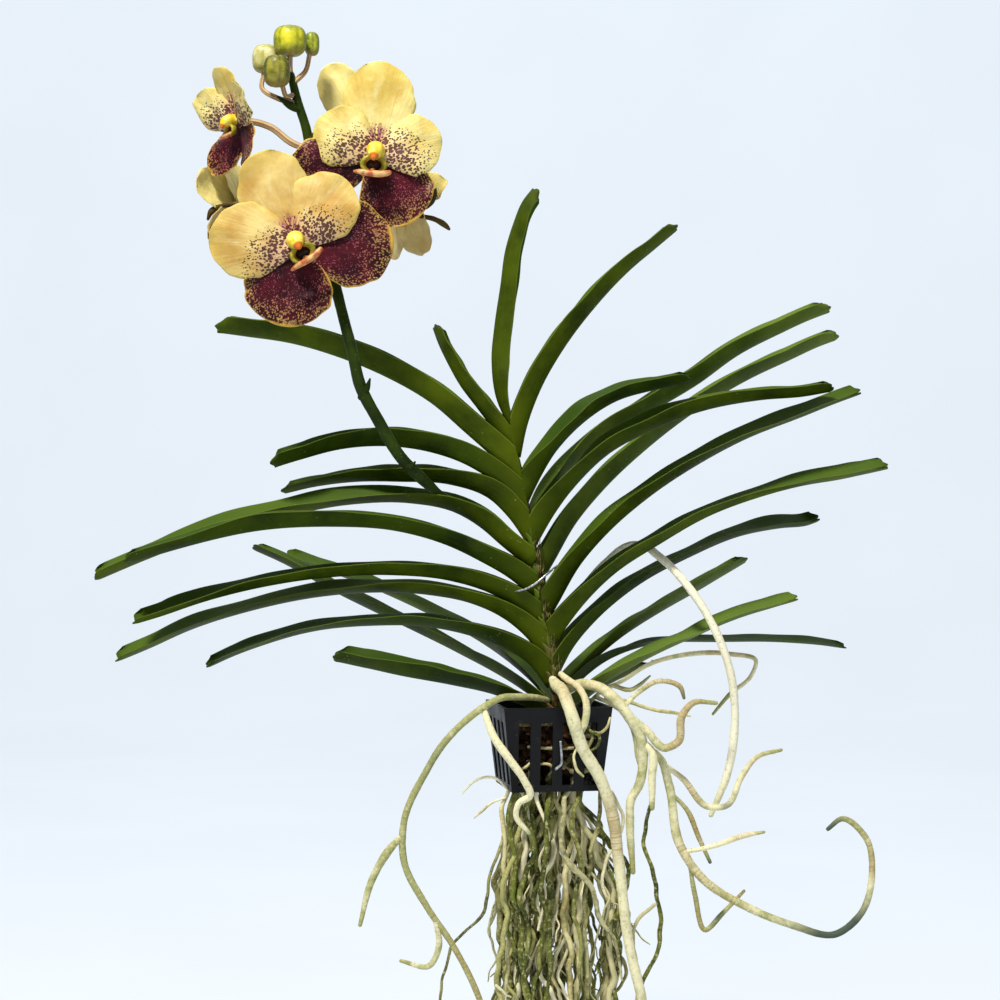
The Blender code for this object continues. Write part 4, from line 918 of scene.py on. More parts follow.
def leaf_look(name, dark, light, inner):
    """Leathery leaf: lengthwise veins, pale margin, paler foot, fine specks."""
    look = Look(name, dark, 0.55, 0.065)
    along, across, face = look.grown()
    veins = look.streaks((across * 34.0, along * 5.0), 3.0, 0.6)
    fine = look.streaks((across * 90.0, along * 14.0), 2.0)
    cloud = look.noise(22.0, 4.0, 0.6)
    look.paint(light, cloud.ramp(0.32, 0.68))
    look.paint(inner, veins.ramp(0.4, 0.75, 0.3))
    look.paint(inner, face * 0.75)
    look.paint("#566404", along.ramp(0.0, 45 * MM, 0.0, start=0.4))
    look.paint("#7d8a3a", abs(across).ramp(0.968, 0.99, 0.28))
    look.paint("#4b5a18", look.noise(34.0).ramp(0.66, 0.74, 0.35))
    dots = look.cells(300.0).ramp(0.14, 0.08) * look.noise(60.0, 2.0).ramp(0.57, 0.68)
    look.paint("#b9bd86", dots * 0.5)
    rough = cloud.ramp(0.3, 0.7, 0.6, start=0.42)
    return look.finish(veins * 0.7 + fine * 0.3, 0.3 * MM, 0.8, rough)


def root_look(name, pale, green, stain):
    """Dry velamen: cream with green and brown patches, finely cracked, ringed towards a tip."""
    look = Look(name, pale, 0.82, 0.25)
    along, flush, tint = look.grown()
    patches = look.noise(85.0, 6.0, 0.65)
    small = look.noise(480.0, 4.0, 0.7)
    look.paint(green, (patches + (tint - 0.5)).ramp(0.36, 0.72))
    look.paint(stain, look.noise(16.0, 2.0).ramp(0.56, 0.74, 0.45))
    look.paint("#f6efc8", small.ramp(0.5, 0.72, 0.45))
    look.paint("#8b7f4c", small.ramp(0.47, 0.3, 0.5))
    look.paint("#5a4a22", look.cells(560.0).ramp(0.13, 0.07, 0.6))
    look.paint("#ab8c58", flush * patches.ramp(0.3, 0.6, start=0.4))
    look.paint("#4f5a4c", look.math("MULTIPLY", flush, -1.0, clamp=True))
    rings = look.streaks((along * 800.0,), 3.0)
    ringed = (tint + (look.noise(26.0, 1.0) + flush)).ramp(1.05, 1.4)
    look.paint(stain, rings.ramp(0.5, 0.62) * ringed * 0.6)
    return look.finish(small + patches * 1.2 + rings * (ringed * 1.6), 0.4 * MM, 0.9)


def strand_look(name, dark, mid, light):
    """Hanging roots: mossy in places, with small pale flecks painted as highlights, and a cracked skin."""
    look = Look(name, dark, 0.72, 0.3)
    along, _, tint = look.grown()
    patches = look.noise(60.0, 5.0, 0.65)
    small = look.noise(480.0, 4.0, 0.7)
    look.paint(mid, patches.ramp(0.36, 0.6))
    look.paint(light, (tint + (patches - 0.5)).ramp(0.4, 0.75))
    # painted highlight: small pale flecks
    look.paint("#dad6a0", small.ramp(0.52, 0.68, 0.6))
    look.paint("#34380c", small.ramp(0.44, 0.3, 0.35))
    look.paint("#64801c", look.noise(30.0).ramp(0.58, 0.7, 0.35))
    rings = look.streaks((along * 700.0,), 2.0)
    return look.finish(small + rings * 0.3, 0.35 * MM, 0.9)


def spotted_look(name, low, high, stain):
    """Petals and upper sepal: yellow, with maroon spots where the mesh asks for them."""
    look = Look(name, low, 0.5, 0.28)
    along, across, face = look.grown()
    reach, near, pink = (look.carried(value) for value in ("reach", "spotting", "blush"))
    front = 1.0 - face
    look.paint(high, look.noise(40.0, 4.0, 0.6).ramp(0.32, 0.68))
    fan = across / (along + 8 * MM)
    veins = look.streaks((fan * 26.0, along * 20.0), 3.0)
    streak = look.streaks((fan * 4.0, along * 40.0), 4.0)
    look.paint("#b07f33", veins.ramp(0.52, 0.72, 0.22))
    look.paint(stain, streak.ramp(0.5, 0.72, 0.6))
    look.paint("#b98d3c", streak.ramp(0.46, 0.3, 0.4))
    look.paint("#d3c05c", reach.ramp(0.7, 1.0, 0.4))
    look.paint("#e6da8e", face * 0.55)
    look.paint("#e6c0a4", near.ramp(0.1, 0.75, 0.55) * front)
    look.paint("#8e2a58", pink.ramp(0.12, 0.4, 0.9) * veins.ramp(0.4, 0.55) * front)
    wobble = look.noise(260.0, 2.0) * 0.8
    grid = look.vector(across * 820.0 + wobble, along * 600.0 + wobble, face * 40.0)
    size = near.ramp(0.0, 0.55, 0.62, start=0.18, soft=False) + (look.noise(150.0, 2.0) - 0.5) * 0.6
    spots = (size - look.cells(1.0, grid, 0.95)).ramp(-0.03, 0.05) * near.ramp(0.0, 0.08)
    look.paint(look.mix(near.ramp(0.4, 0.8), "#3c0c18", "#4c0c2a"), spots * (front * 0.92))
    height = veins * 0.5 + look.noise(90.0, 2.0) * 1.6 + look.noise(900.0, 2.0) * 0.15
    return look.finish(height, 1.0 * MM, 0.8)


def netted_look():
    """Lateral sepals: dark maroon with pale flecks that thicken to a golden rim."""
    look = Look("sepal_maroon", "#1a0208", 0.44, 0.2)
    along, across, face = look.grown()
    reach = look.carried("reach")
    cloud = look.noise(55.0, 4.0, 0.6)
    look.paint("#4a0818", cloud.ramp(0.32, 0.66))
    fan = across / (along + 14 * MM)
    rows = look.vector(fan * 34.0, along * 520.0)
    grid = look.vector(across * 950.0, along * 700.0)
    spread = (look.noise(130.0, 2.0) - 0.5) * 0.35
    tone = look.mix(reach.ramp(0.55, 0.95), "#a85866", "#c8a05a")
    for pattern, low, high, share, start in ((rows, 0.24, 0.3, 0.55, 10), (grid, 0.12, 0.44, 0.5, 3)):
        size = reach.ramp(0.3, 0.98, high, start=low) + spread
        flecks = (size - look.cells(1.0, pattern, 0.9)).ramp(-0.06, 0.05)
        look.paint(tone, flecks * along.ramp(start * MM, 2 * start * MM, share))
    look.paint("#d0a544", (reach + (cloud - 0.5) * 0.1).ramp(0.95, 0.99))
    look.paint(look.mix(cloud.ramp(0.3, 0.7), "#dccb90", "#bfa366"), face)
    veins = look.streaks((fan * 30.0, along * 20.0), 2.0)
    return look.finish(veins * 0.35 + look.noise(100.0, 2.0) * 1.4, 1.0 * MM, 0.8)


def lip_look():
    """Column and lip: bright yellow, with green-yellow mouth, orange tongue, and the throat painted
    near-black as the shade in the mouth's hollow.
    """
    look = Look("lip_yellow", "#e6c21c", 0.4, 0.4)
    along, part, _ = look.grown()
    cloud = look.noise(260.0)
    look.paint("#f8e96a", cloud.ramp(0.4, 0.66))
    look.paint("#d0701c", along.ramp(18.6 * MM, 19.6 * MM))
    # Part 3, the inside of the cup, gets near-black browns: painted shade of the mouth's deep hollow
    for number, low, high in ((1, "#77780e", "#b5a42c"), (2, "#b35a30", "#dcb070"),
                              (3, "#1e0f04", "#40260c")):
        tone = look.mix(cloud.ramp(0.35, 0.65), low, high)
        look.paint(tone, part.ramp(number - 0.6, number - 0.4))
    return look.finish(cloud, 0.3 * MM, 0.7)


def stalk_look(name, low, high, stripe, stripes):
    """Spike, bracts and flower stalks: ribs of another colour and small pale specks."""
    look = Look(name, low, 0.5, 0.12)
    _, rib, _ = look.grown()
    look.paint(high, look.noise(60.0, 4.0).ramp(0.3, 0.7))
    look.paint(stripe, rib.ramp(-0.2, 0.55, stripes))
    look.paint("#b5b56a", look.cells(420.0).ramp(0.12, 0.07, 0.3))
    return look.finish(look.noise(300.0), 0.2 * MM, 0.6)


def bud_look(name, dark, light, groove):
    """Closed buds: cloudy panels, greener in the soft grooves between them, with the groove green also
    painted as shade on the sides turned away from the front.
    """
    look = Look(name, dark, 0.4, 0.35)
    painted_sun, seam, top = look.grown()
    cloud = look.noise(110.0, 5.0, 0.6)
    look.paint(light, cloud.ramp(0.36, 0.64))
    # painted shade: groove green on the sides that turn away from the front, so the front looks sunlit
    look.paint(groove, (painted_sun + (cloud - 0.5)).ramp(0.9, 0.35, 0.75))
    look.paint(groove, seam.ramp(0.3, 1.0, 0.45))
    look.paint("#a08a48", top.ramp(-0.3, -1.0, 0.6))
    look.paint("#e3e07c", look.noise(700.0, 2.0).ramp(0.55, 0.75, 0.25))
    return look.finish(look.noise(260.0), 0.3 * MM, 0.7)


def plastic_look():
    """Black moulded plastic: fine grain, a little lime and dust."""
    look = Look("basket_plastic", "#08080b", 0.5, 0.22)
    dust = look.noise(90.0, 5.0, 0.7)
    look.paint("#3a3933", dust.ramp(0.54, 0.75, 0.25))
    look.paint("#77756a", look.cells(210.0).ramp(0.1, 0.05, 0.25))
    height = look.noise(1600.0, 2.0) * 0.6 + dust * 0.4
    return look.finish(height, 0.12 * MM, 0.5, dust.ramp(0.35, 0.7, 0.62, start=0.38))


def bark_look():
    """Old bark and peat: layered browns, crumbly."""
    look = Look("bark_brown", "#140c06", 0.9, 0.2)
    layers = look.noise(160.0, 5.0, 0.65)
    fine = look.noise(800.0, 3.0, 0.7)
    look.paint("#4a2e18", layers.ramp(0.3, 0.7))
    look.paint("#8a6438", fine.ramp(0.6, 0.75, 0.45))
    return look.finish(layers + fine * 0.5, 0.8 * MM)


def stem_look():
    """Stem: green under brown, papery leaf bases with grey fibres."""
    look = Look("stem_fibre", "#2e3a08", 0.8, 0.2)
    x, y, z = look.split(look.place)
    fibres = look.streaks((x * 1500.0, y * 1500.0, z * 90.0), 3.0, 0.6)
    look.paint("#3a2610", look.noise(110.0, 4.0).ramp(0.4, 0.58))
    look.paint("#8f8048", fibres.ramp(0.52, 0.66, 0.8))
    look.paint("#120c04", fibres.ramp(0.48, 0.34, 0.8))
    return look.finish(fibres, 0.8 * MM)


def sheath_look():
    """Old leaf bases that clasp the stem: green that dries to brown, with pale lines."""
    look = Look("sheath_green", "#33450a", 0.6, 0.2)
    along, _, tint = look.grown()
    cloud = look.noise(120.0, 4.0, 0.6)
    look.paint("#536a10", cloud.ramp(0.35, 0.65))
    look.paint("#5b4220", (tint + (cloud - 0.5)).ramp(0.3, 0.8))
    look.paint("#a39562", look.streaks((along * 30.0, cloud * 9.0)).ramp(0.55, 0.7, 0.5))
    return look.finish(cloud, 0.4 * MM, 0.8)


def fibre_look():
    """Torn fibres of old leaf bases."""
    look = Look("fibre_grey", "#33260e", 0.85, 0.15)
    cloud = look.noise(240.0)
    look.paint("#8f8552", cloud.ramp(0.4, 0.66))
    return look.finish(cloud, 0.2 * MM, 0.6)


def wire_look():
    """Dull galvanised wire."""
    look = Look("wire_grey", "#8b8e90", 0.38, 0.5, 0.9)
    cloud = look.noise(500.0, 4.0)
    look.paint("#d4d7da", cloud.ramp(0.35, 0.7))
    return look.finish(cloud, 0.08 * MM, 0.5, cloud.ramp(0.3, 0.7, 0.5, start=0.28))


def backdrop_look():
    """Plain pale studio floor and backdrop, a little lit from within so that it stays even."""
    look = Look("studio_paper", "#8e9399", 0.95, 0.0)
    look.shader["Emission Color"].default_value = BACKDROP_GLOW
    look.shader["Emission Strength"].default_value = BACKDROP_STRENGTH
    look.paint("#92979d", look.noise(3.0, 2.0).ramp(0.3, 0.7))
    return look.finish()


# Leaves and stem

def stem_side(height, side):
    """Where the left (-1) or right (+1) leaves end at a height: they meet above, and gape below."""
    places = [seen(across, down) for across, down, _ in STEM]
    heights = [place[2] for place in places][::-1]
    middle = np.interp(height, heights, [place[0] for place in places][::-1])
    apart = np.interp(height, [seen(0, down)[2] for down, _ in FEET_APART],
                      [gap * MM for _, gap in FEET_APART])
    return middle + side * apart


def leaf_shares():
    """Where a leaf's lengthwise lines lie, from the near margin at -1 to the far one at 1."""
    inner = np.linspace(-1, 1, LEAF_COLUMNS)[1:-1]
    return np.concatenate([[-1, -LEAF_MARGIN], inner, [LEAF_MARGIN, 1]])


def leaf_frame(points, half, foot, side):
    """Along a leaf: its keel, its way, its width, and how its near and far half reach and face."""
    rows = smooth([(*seen(*place), near * PIXEL, far * PIXEL) for *place, near, far in points],
                  LEAF_SAMPLES)
    keel = rows[:, :3]
    along = unit(np.gradient(keel, axis=0))
    up = unit(np.cross((0, 1, 0), along)) * -side
    back = np.cross(along, up)
    back *= np.sign(back[:, 1:2])
    spots = np.linspace(0, 1, LEAF_SAMPLES)[:, None]
    width = half * np.interp(spots, *zip((0, foot), *LEAF_TAPER))
    held = int(TIP_HOLD_FROM * LEAF_SAMPLES)
    outs, ins = [], []
    for rise, turn in ((rows[:, 3:4], -1), (rows[:, 4:5], 1)):
        rise[held:] = np.maximum(rise[held:], TIP_HOLD * rise[held])
        angle = np.arcsin(np.clip(rise / width, FLATTEST, STEEPEST))
        outs.append(back * turn * np.cos(angle) + up * np.sin(angle))
        ins.append(up * np.cos(angle) - back * turn * np.sin(angle))
    return keel, along, width, outs, ins


def leaf_faces(points, half, foot, side, draw):
    """The outer and inner face of a folded leaf, foot to tip, near margin to far margin."""
    keel, along, width, outs, ins = leaf_frame(points, half, foot, side)
    spots = np.linspace(0, 1, LEAF_SAMPLES)[:, None]
    fade = np.clip((spots - TIP_FROM) / (1 - TIP_FROM), 0, 1)
    phases = [draw.uniform(0, 7) for _ in range(4)]
    outer, inner = [], []
    for share in leaf_shares():
        edge = abs(share)
        soft = math.sqrt(share**2 + KEEL_ROUND**2)
        near, far = (soft - share) / 2, (soft + share) / 2
        inward = unit(near * ins[0] + far * ins[1])
        wave = waves(spots, RIPPLE_WAVES, phases, share * RIPPLE_LEAN)
        place = keel + width * (near * outs[0] + far * outs[1])
        place = place - inward * (LEAF_CAMBER * width * math.sin(math.pi * edge))
        place = place + inward * (RIPPLE * edge**2 * wave * np.sin(math.pi * spots))
        reach = np.interp(share, TIP_SHARES, TIP_REACH) + TIP_TEETH * math.sin(share * 11 + phases[3])
        place = place + along * half * reach * fade**2
        thick = LEAF_THICK * (1 - MARGIN_THIN * edge**6)
        thick += KEEL_THICK * math.exp(-(share / KEEL_SPREAD)**2)
        outer.append(place)
        inner.append(place + inward * thick * (1 - TIP_THIN * fade))
    return np.array(outer), np.array(inner)


def trimmed(column, side, upright):
    """A leaf's lengthwise line from where it meets the stem."""
    if upright:
        return column
    clear = side * (column[:, 0] - stem_side(column[:, 2], side))
    within = np.nonzero(clear[:len(clear) // 2] < 0)[0]
    if not len(within):
        return column
    last = within[-1]
    part = -clear[last] / (clear[last + 1] - clear[last])
    start = column[last] * (1 - part) + column[last + 1] * part
    return np.concatenate([start[None], column[last + 1:]])


def leaf(name, material, points, half=LEAF_HALF_WIDTH, foot=LEAF_FOOT, upright=False):
    """One strap leaf, folded along its keel, notched at the tip."""
    side = 1 if "right" in name else -1
    draw = random.Random(name)
    grids, values = [], []
    spots = np.linspace(0, 1, LEAF_ROWS)
    for flag, face in enumerate(leaf_faces(points, half * MM, foot, side, draw)):
        lines = []
        for column in face:
            line = trimmed(column, side, upright)
            spot = np.linspace(0, 1, len(line))
            lines.append(np.stack([np.interp(spots, spot, line[:, k]) for k in range(3)], 1))
        grid = np.stack(lines, 1)
        far = spots * distances(grid[:, len(lines) // 2])[-1]
        grids.append(grid)
        values.append(np.stack(np.broadcast_arrays(far[:, None], leaf_shares(), float(flag)), 2))
    put(name + "_blade", shell(*grids, values), material, "leaf", name)


def leaves():
    """All the leaves, in a few mixed greens, with lighter greens painted as sunlight on the leaves that
    stand in the sun.
    """
    looks = [leaf_look("leaf_green", "#1d2802", "#435104", "#445e16"),
             leaf_look("leaf_deep", "#172302", "#374703", "#395418"),
             leaf_look("leaf_light", "#253102", "#4f5d06", "#48641c")]
    # painted sunlight: a lighter copy of the leaf greens for the sunlit leaves
    painted_sun = leaf_look("leaf_painted_sun", "#465618", "#68782e", "#5c7828")
    for number, (name, shape) in enumerate(LEAVES.items()):
        leaf(name, painted_sun if name in PAINTED_SUN_LEAVES else looks[number * 2 % 3], **shape)


def stem():
    """The stem, deeper than wide, with the rings of old leaf bases and their fibres."""
    rows = smooth([(*seen(across, down), half * MM) for across, down, half in STEM], STEM_ROWS)
    draw = random.Random(SEED)
    turns = ring_turns(STEM_SIDES)
    points, values = [], []
    for number, (x, y, z, half) in enumerate(rows):
        swell = 1 + SCAR_DEPTH * ((number / SCAR_ROWS + 0.5 * (np.cos(turns) > 0)) % 1 - 1)
        points.append(ring((x, y, z), half * swell, stem_depth(half) * swell, turns))
        values += [(z, 0, 0)] * STEM_SIDES
    core = Shape(points, values, tube_faces(STEM_ROWS, STEM_SIDES))
    put("stem_core", core, stem_look(), "stem", "stem")
    clasps = Shape()
    for number, (down, tall, dry) in enumerate(SHEATHS):
        clasps.join(sheath(rows, down, tall, dry, number % 2 * 2 - 1, draw))
    put("stem_sheaths", clasps, sheath_look(), "stem")
    fibres = Shape()
    for _ in range(FIBRE_COUNT):
        x, y, z, half = rows[int(draw.uniform(*FIBRE_FROM) * (STEM_ROWS - 1))]
        angle = draw.uniform(*FIBRE_ANGLES)
        route = []
        for step in range(FIBRE_STEPS):
            lift = 1.1 + FIBRE_LIFT * step * draw.random()
            shake = draw.uniform(-FIBRE_SHAKE, FIBRE_SHAKE)
            route.append((x + half * math.cos(angle) * lift + shake,
                          y + stem_depth(half) * math.sin(angle) * lift,
                          z + step * FIBRE_STEP, FIBRE_RADIUS))
            angle += draw.uniform(-FIBRE_TURN, FIBRE_TURN)
        fibres.join(tube(smooth(route, FIBRE_ROWS), FIBRE_SIDES))
    put("stem_fibres", fibres, fibre_look(), "stem")


def stem_depth(half):
    """Half the stem's depth where its half width is given."""
    return min(STEM_HALF_DEPTH, half * 2)


def sheath(stem_rows, down, tall, dry, side, draw):
    """One old leaf base: a thin half collar that clasps one side of the stem and points up."""
    level = seen(0, down)[2]
    heights = stem_rows[::-1, 2]
    shares = np.linspace(-1, 1, SHEATH_COLUMNS)
    faces = []
    for out in (SHEATH_OUT + SHEATH_THICK, SHEATH_OUT):
        places = []
        for share in np.linspace(0, 1, SHEATH_ROWS):
            for across in shares:
                ragged = 1 + SHEATH_RAGGED * draw.random()
                z = level + tall * PIXEL * share * (1 - SHEATH_ROUND * across**2) * ragged
                x, y, half = (np.interp(z, heights, stem_rows[::-1, axis]) for axis in (0, 1, 3))
                turn = across * SHEATH_HALF_TURN + (0 if side > 0 else math.pi)
                places.append((x + (half + out + SHEATH_FLARE * share) * math.cos(turn),
                               y + (stem_depth(half) + out) * math.sin(turn), z))
        faces.append(np.reshape(places, (SHEATH_ROWS, SHEATH_COLUMNS, 3)))
    return shell(*faces, [(across, 0, dry) for across in shares] * 2 * SHEATH_ROWS)


# Basket and roots

def basket():
    """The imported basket's mesh, with its edges rounded."""
    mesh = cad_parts["basket"].data.copy()
    work = bmesh.new()
    work.from_mesh(mesh)
    bmesh.ops.remove_doubles(work, verts=work.verts, dist=0.01 * MM)
    bmesh.ops.dissolve_limit(work, angle_limit=math.radians(1), verts=work.verts, edges=work.edges)
    work.to_mesh(mesh)
    work.free()
    mesh.materials.clear()
    mesh.materials.append(plastic_look())
    piece = add_object("basket_moulded", mesh)
    bevel = piece.modifiers.new("round", "BEVEL")
    bevel.width = BASKET_BEVEL
    bevel.segments = 2
    bevel.limit_method = "ANGLE"
    bevel.angle_limit = BASKET_BEVEL_FROM
    bevel.harden_normals = True
    mesh.shade_smooth()
    mesh.set_sharp_from_angle(angle=BASKET_SHARP_FROM)
    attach(piece, "root")
    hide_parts("basket")


def basket_half(height):
    """Half the basket's outer side at a height below the rim."""
    share = -height / BASKET_HEIGHT
    return (RIM_SIDE + (FLOOR_SIDE - RIM_SIDE) * share) / 2


def turn_basket(rows):
    """Rows turned with the basket about the upright axis."""
    rows = np.array(rows, float)
    rows[:, :3] = rows[:, :3] @ np.array(Matrix.Rotation(BASKET_TURN, 3, "Z")).T
    return rows


def in_hole(draw, cell, radius, clear):
    """Where a root passes a hole of the floor, in millimetres, before the basket is turned."""
    play = FLOOR_HOLE / MM / 2 - radius - clear
    return [k * FLOOR_PITCH / MM + draw.uniform(-play, play) for k in cell]


def hung(draw, start, end, top, length, radius, steps):
    """A root's route: from inside the basket down through its floor at start, then on to end.

    A step is a share of the length, how near to end that is, the sway and the thickness.
    """
    floor = -BASKET_HEIGHT / MM
    rows = [(*start, top, radius), (*start, floor - STRAND_BELOW, radius)]
    for share, reach, sway, thick in steps:
        x, y = (a + (b - a) * reach + draw.uniform(-sway, sway) for a, b in zip(start, end))
        rows.append((x, y, floor - length * share, radius * thick))
    return turn_basket(np.array(rows) * MM)


def strand_rows(draw, cell, across, deep):
    """The route of one hanging root, as the solids have it."""
    radius = draw.uniform(*CURTAIN_RADIUS)
    start = in_hole(draw, cell, radius, 3 * GAP / MM)
    length = draw.uniform(*CURTAIN_LENGTH)
    steps = []
    for share in CURTAIN_STEPS:
        reach = min(1, share / CURTAIN_SPREAD_BY)
        steps.append((share, reach, CURTAIN_WAVER * reach, STRAND_TIP if share == 1 else 1))
    return hung(draw, start, (across, deep), CURTAIN_TOP / MM, length, radius, steps)


def fine_rows(draw):
    """The route of one thinner root between the others."""
    radius = draw.uniform(*FINE_RADIUS)
    start = in_hole(draw, [draw.choice((-1, 0, 1)) for _ in range(2)], radius, FINE_CLEAR)
    length = draw.uniform(*FINE_LENGTH)
    end = (draw.uniform(*CURTAIN_ACROSS), draw.uniform(-CURTAIN_DEEP, CURTAIN_DEEP))
    steps = []
    count = max(4, round(length / FINE_STEP))
    for share in np.arange(1, count + 1) / count:
        reach = min(1, share * length / FINE_SPREAD_BY)
        sway = FINE_WAVER * reach * (1 - 0.4 * share)
        steps.append((share, reach, sway, 1 - FINE_TAPER * share**3))
    return hung(draw, start, end, FINE_ABOVE - BASKET_HEIGHT / MM, length, radius, steps)


def side_rows(draw, carrier):
    """A short thin side root that grows from a strand."""
    start = carrier[draw.randrange(len(carrier) // 3, len(carrier) - 2)]
    heading = draw.uniform(0, 2 * math.pi)
    place = np.array(start[:3])
    radius = min(start[3] * SIDE_SHARE, SIDE_RADIUS)
    rows = []
    for step in range(SIDE_STEPS):
        rows.append((*place, radius * (1 - SIDE_TAPER * step)))
        heading += draw.uniform(-SIDE_TURN, SIDE_TURN)
        place = place + np.array((math.cos(heading) * SIDE_REACH[0], math.sin(heading) * SIDE_REACH[1],
                                  draw.uniform(*SIDE_DROP)))
    return rows


def kinked(rows, draw, amount):
    """Rows with small bends from side to side, none at either end."""
    rows = np.array(rows)
    far = distances(rows)
    calm = np.clip(np.minimum(far, far[-1] - far) / KINK_CALM, 0, 1)
    for axis in (0, 1):
        for wave in KINK_WAVES:
            turn = far / (wave * MM) * 2 * math.pi + draw.uniform(0, 7)
            rows[:, axis] += amount * wave / KINK_FULL_AT * calm * np.sin(turn)
    return rows


def curtain():
    """The roots that hang from the basket, in three mixed groups."""
    draw = random.Random(SEED)
    routes = []
    for k in range(CURTAIN_COUNT):
        share = (k + 0.5) / CURTAIN_COUNT
        cell = (min(2, int(share * 3)) - 1, k % 3 - 1)
        across = CURTAIN_ACROSS[0] + (CURTAIN_ACROSS[1] - CURTAIN_ACROSS[0]) * share
        deep = cell[1] * CURTAIN_DEEP + draw.uniform(-CURTAIN_ROW_JITTER, CURTAIN_ROW_JITTER)
        routes.append(strand_rows(draw, cell, across, deep))
    routes += [fine_rows(draw) for _ in range(FINE_COUNT)]
    routes = [spaced(rows, STRAND_STEP, 8) for rows in routes]
    routes += [smooth(side_rows(draw, draw.choice(routes)), SIDE_ROWS) for _ in range(SIDE_COUNT)]
    groups = {
        "olive": strand_look("strand_olive", "#393f0e", "#6c7228", "#aba866"),
        "grey": strand_look("strand_grey", "#50502a", "#918e58", "#c8c294"),
        "pale": strand_look("strand_pale", "#a59b5e", "#ddd4a0", "#f3ecc6"),
    }
    shapes = {name: Shape() for name in groups}
    for number, rows in enumerate(routes):
        name = CURTAIN_GROUPS[number % len(CURTAIN_GROUPS)]
        rows = knobbly(kinked(rows, draw, KINK), draw, STRAND_KNOBS)
        shapes[name].join(tube(rows, STRAND_SIDES, tint=draw.random()))
    for name, points in FRONT_ROOTS + RIM_ROOTS:
        rows = kinked(spaced(traced(points), STRAND_STEP, 10), draw, KINK / 2)
        rows = knobbly(rows, draw, STRAND_KNOBS)
        rows[:, 3] *= FRONT_THIN
        shapes[name].join(tube(rows, ROOT_SIDES, tint=draw.random()))
    for name, shape in shapes.items():
        put("roots_hanging_" + name, shape, groups[name], "root_tangle",
            *(("root_mass",) if name == "olive" else ()))


def bark():
    """Bark, peat and packed roots inside the basket."""
    draw = random.Random(SEED + 1)
    foot = FLOOR_THICK - BASKET_HEIGHT
    made = Shape()
    for level in CORE_LEVELS:
        made.join(chip(draw, CORE_SIZE, Vector((0, 0, level)), 4))
    for _ in range(BARK_COUNT):
        size = draw.uniform(*BARK_SIZE)
        z = draw.uniform(foot + size * 0.6, CORE_TOP + 3 * MM)
        reach = basket_half(z) - WALL - size * 0.75
        x, y = draw.uniform(-reach, reach), draw.uniform(-reach, reach)
        made.join(chip(draw, size, Vector((x, y, z))))
    for x, y in BARK_TOP:
        made.join(chip(draw, BARK_SIZE[1], Vector((x * MM, y * MM, CORE_TOP + BARK_SIZE[0]))))
    put("bark_chips", made.turned(Matrix.Rotation(BASKET_TURN, 4, "Z")), bark_look(), "root_tangle")
    packed = Shape()
    for _ in range(PACKED_COUNT):
        rows = knobbly(smooth(packed_rows(draw, foot + PACKED_INSET), 40), draw, PACKED_KNOBS)
        packed.join(tube(rows, STRAND_SIDES, tint=draw.uniform(0.2, 0.9)))
    brown = root_look("root_packed", "#a89f70", "#565a30", "#5c4020")
    put("roots_packed", packed, brown, "root_tangle")


def packed_rows(draw, lowest):
    """The route of one root that is packed along the inside of the basket's walls."""
    angle = draw.uniform(0, 2 * math.pi)
    bend = draw.uniform(-PACKED_BEND, PACKED_BEND)
    z = draw.uniform(lowest, CORE_TOP)
    climb = draw.uniform(-PACKED_CLIMB, PACKED_CLIMB)
    thick = draw.uniform(*PACKED_RADIUS)
    rows = []
    for _ in range(PACKED_STEPS):
        level = min(max(z, lowest), CORE_TOP + 4 * MM)
        reach = basket_half(level) - WALL - thick - 1 * MM
        x, y = math.cos(angle), math.sin(angle)
        square = reach / max(abs(x), abs(y)) * draw.uniform(0.86, 1)
        rows.append((x * square, y * square, level, thick))
        angle += PACKED_TURN + bend
        z += climb + draw.uniform(-PACKED_JOLT, PACKED_JOLT)
    return turn_basket(rows)


def chip(draw, size, middle, fineness=2):
    """One rough chip of bark, or the crumbly core."""
    work = bmesh.new()
    bmesh.ops.create_icosphere(work, subdivisions=fineness, radius=0.5)
    stretch = [draw.uniform(*limits) * size for limits in CHIP_STRETCH]
    turn = Matrix.Rotation(draw.uniform(0, 6), 3, Vector([draw.uniform(-1, 1) for _ in range(3)]))
    points = []
    for vertex in work.verts:
        place = [math.copysign(min(abs(k), CHIP_FLAT) * 1.2, k) for k in vertex.co]
        rough = 1 + draw.uniform(-CHIP_ROUGH, CHIP_ROUGH)
        points.append(middle + turn @ Vector([rough * a * b for a, b in zip(place, stretch)]))
    faces = [[v.index for v in face.verts] for face in work.faces]
    work.free()
    return Shape(points, np.zeros((len(points), 3)), faces)


def aerial_roots():
    """The thick roots outside the basket, with their branches."""
    cream = root_look("root_cream", "#f0eabf", "#a4a86c", "#a88350")
    white = root_look("root_white_skin", "#f6f2d6", "#d0d0a0", "#bfa66c")
    for name, branches in ROOTS.items():
        draw = random.Random(name)
        made = Shape()
        for number, points in enumerate(branches):
            rows = spaced(traced(points), ROOT_STEP)
            share = np.linspace(0, 1, len(rows))
            tip = np.clip((share - ROOT_TIP_FROM) / (1 - ROOT_TIP_FROM), 0, 1)
            tint = ROOT_TINTS[name][number] + ROOT_TIP_TINT * tip
            flush = np.zeros(len(rows))
            for middle, spread, strength in ROOT_FLUSHES.get((name, number), ()):
                flush += strength * np.exp(-((share - middle) / spread) ** 2)
            made.join(tube(knobbly(rows, draw, ROOT_KNOBS), ROOT_SIDES, tint=tint, flush=flush))
        put(name + "_skin", made, white if name == "root_white" else cream, "root", name)


# Flowers

def bloom_axis(shape):
    """A bloom's middle and the way that it faces."""
    return Vector(seen(*shape["at"])), Vector(shape["faces"]).normalized()


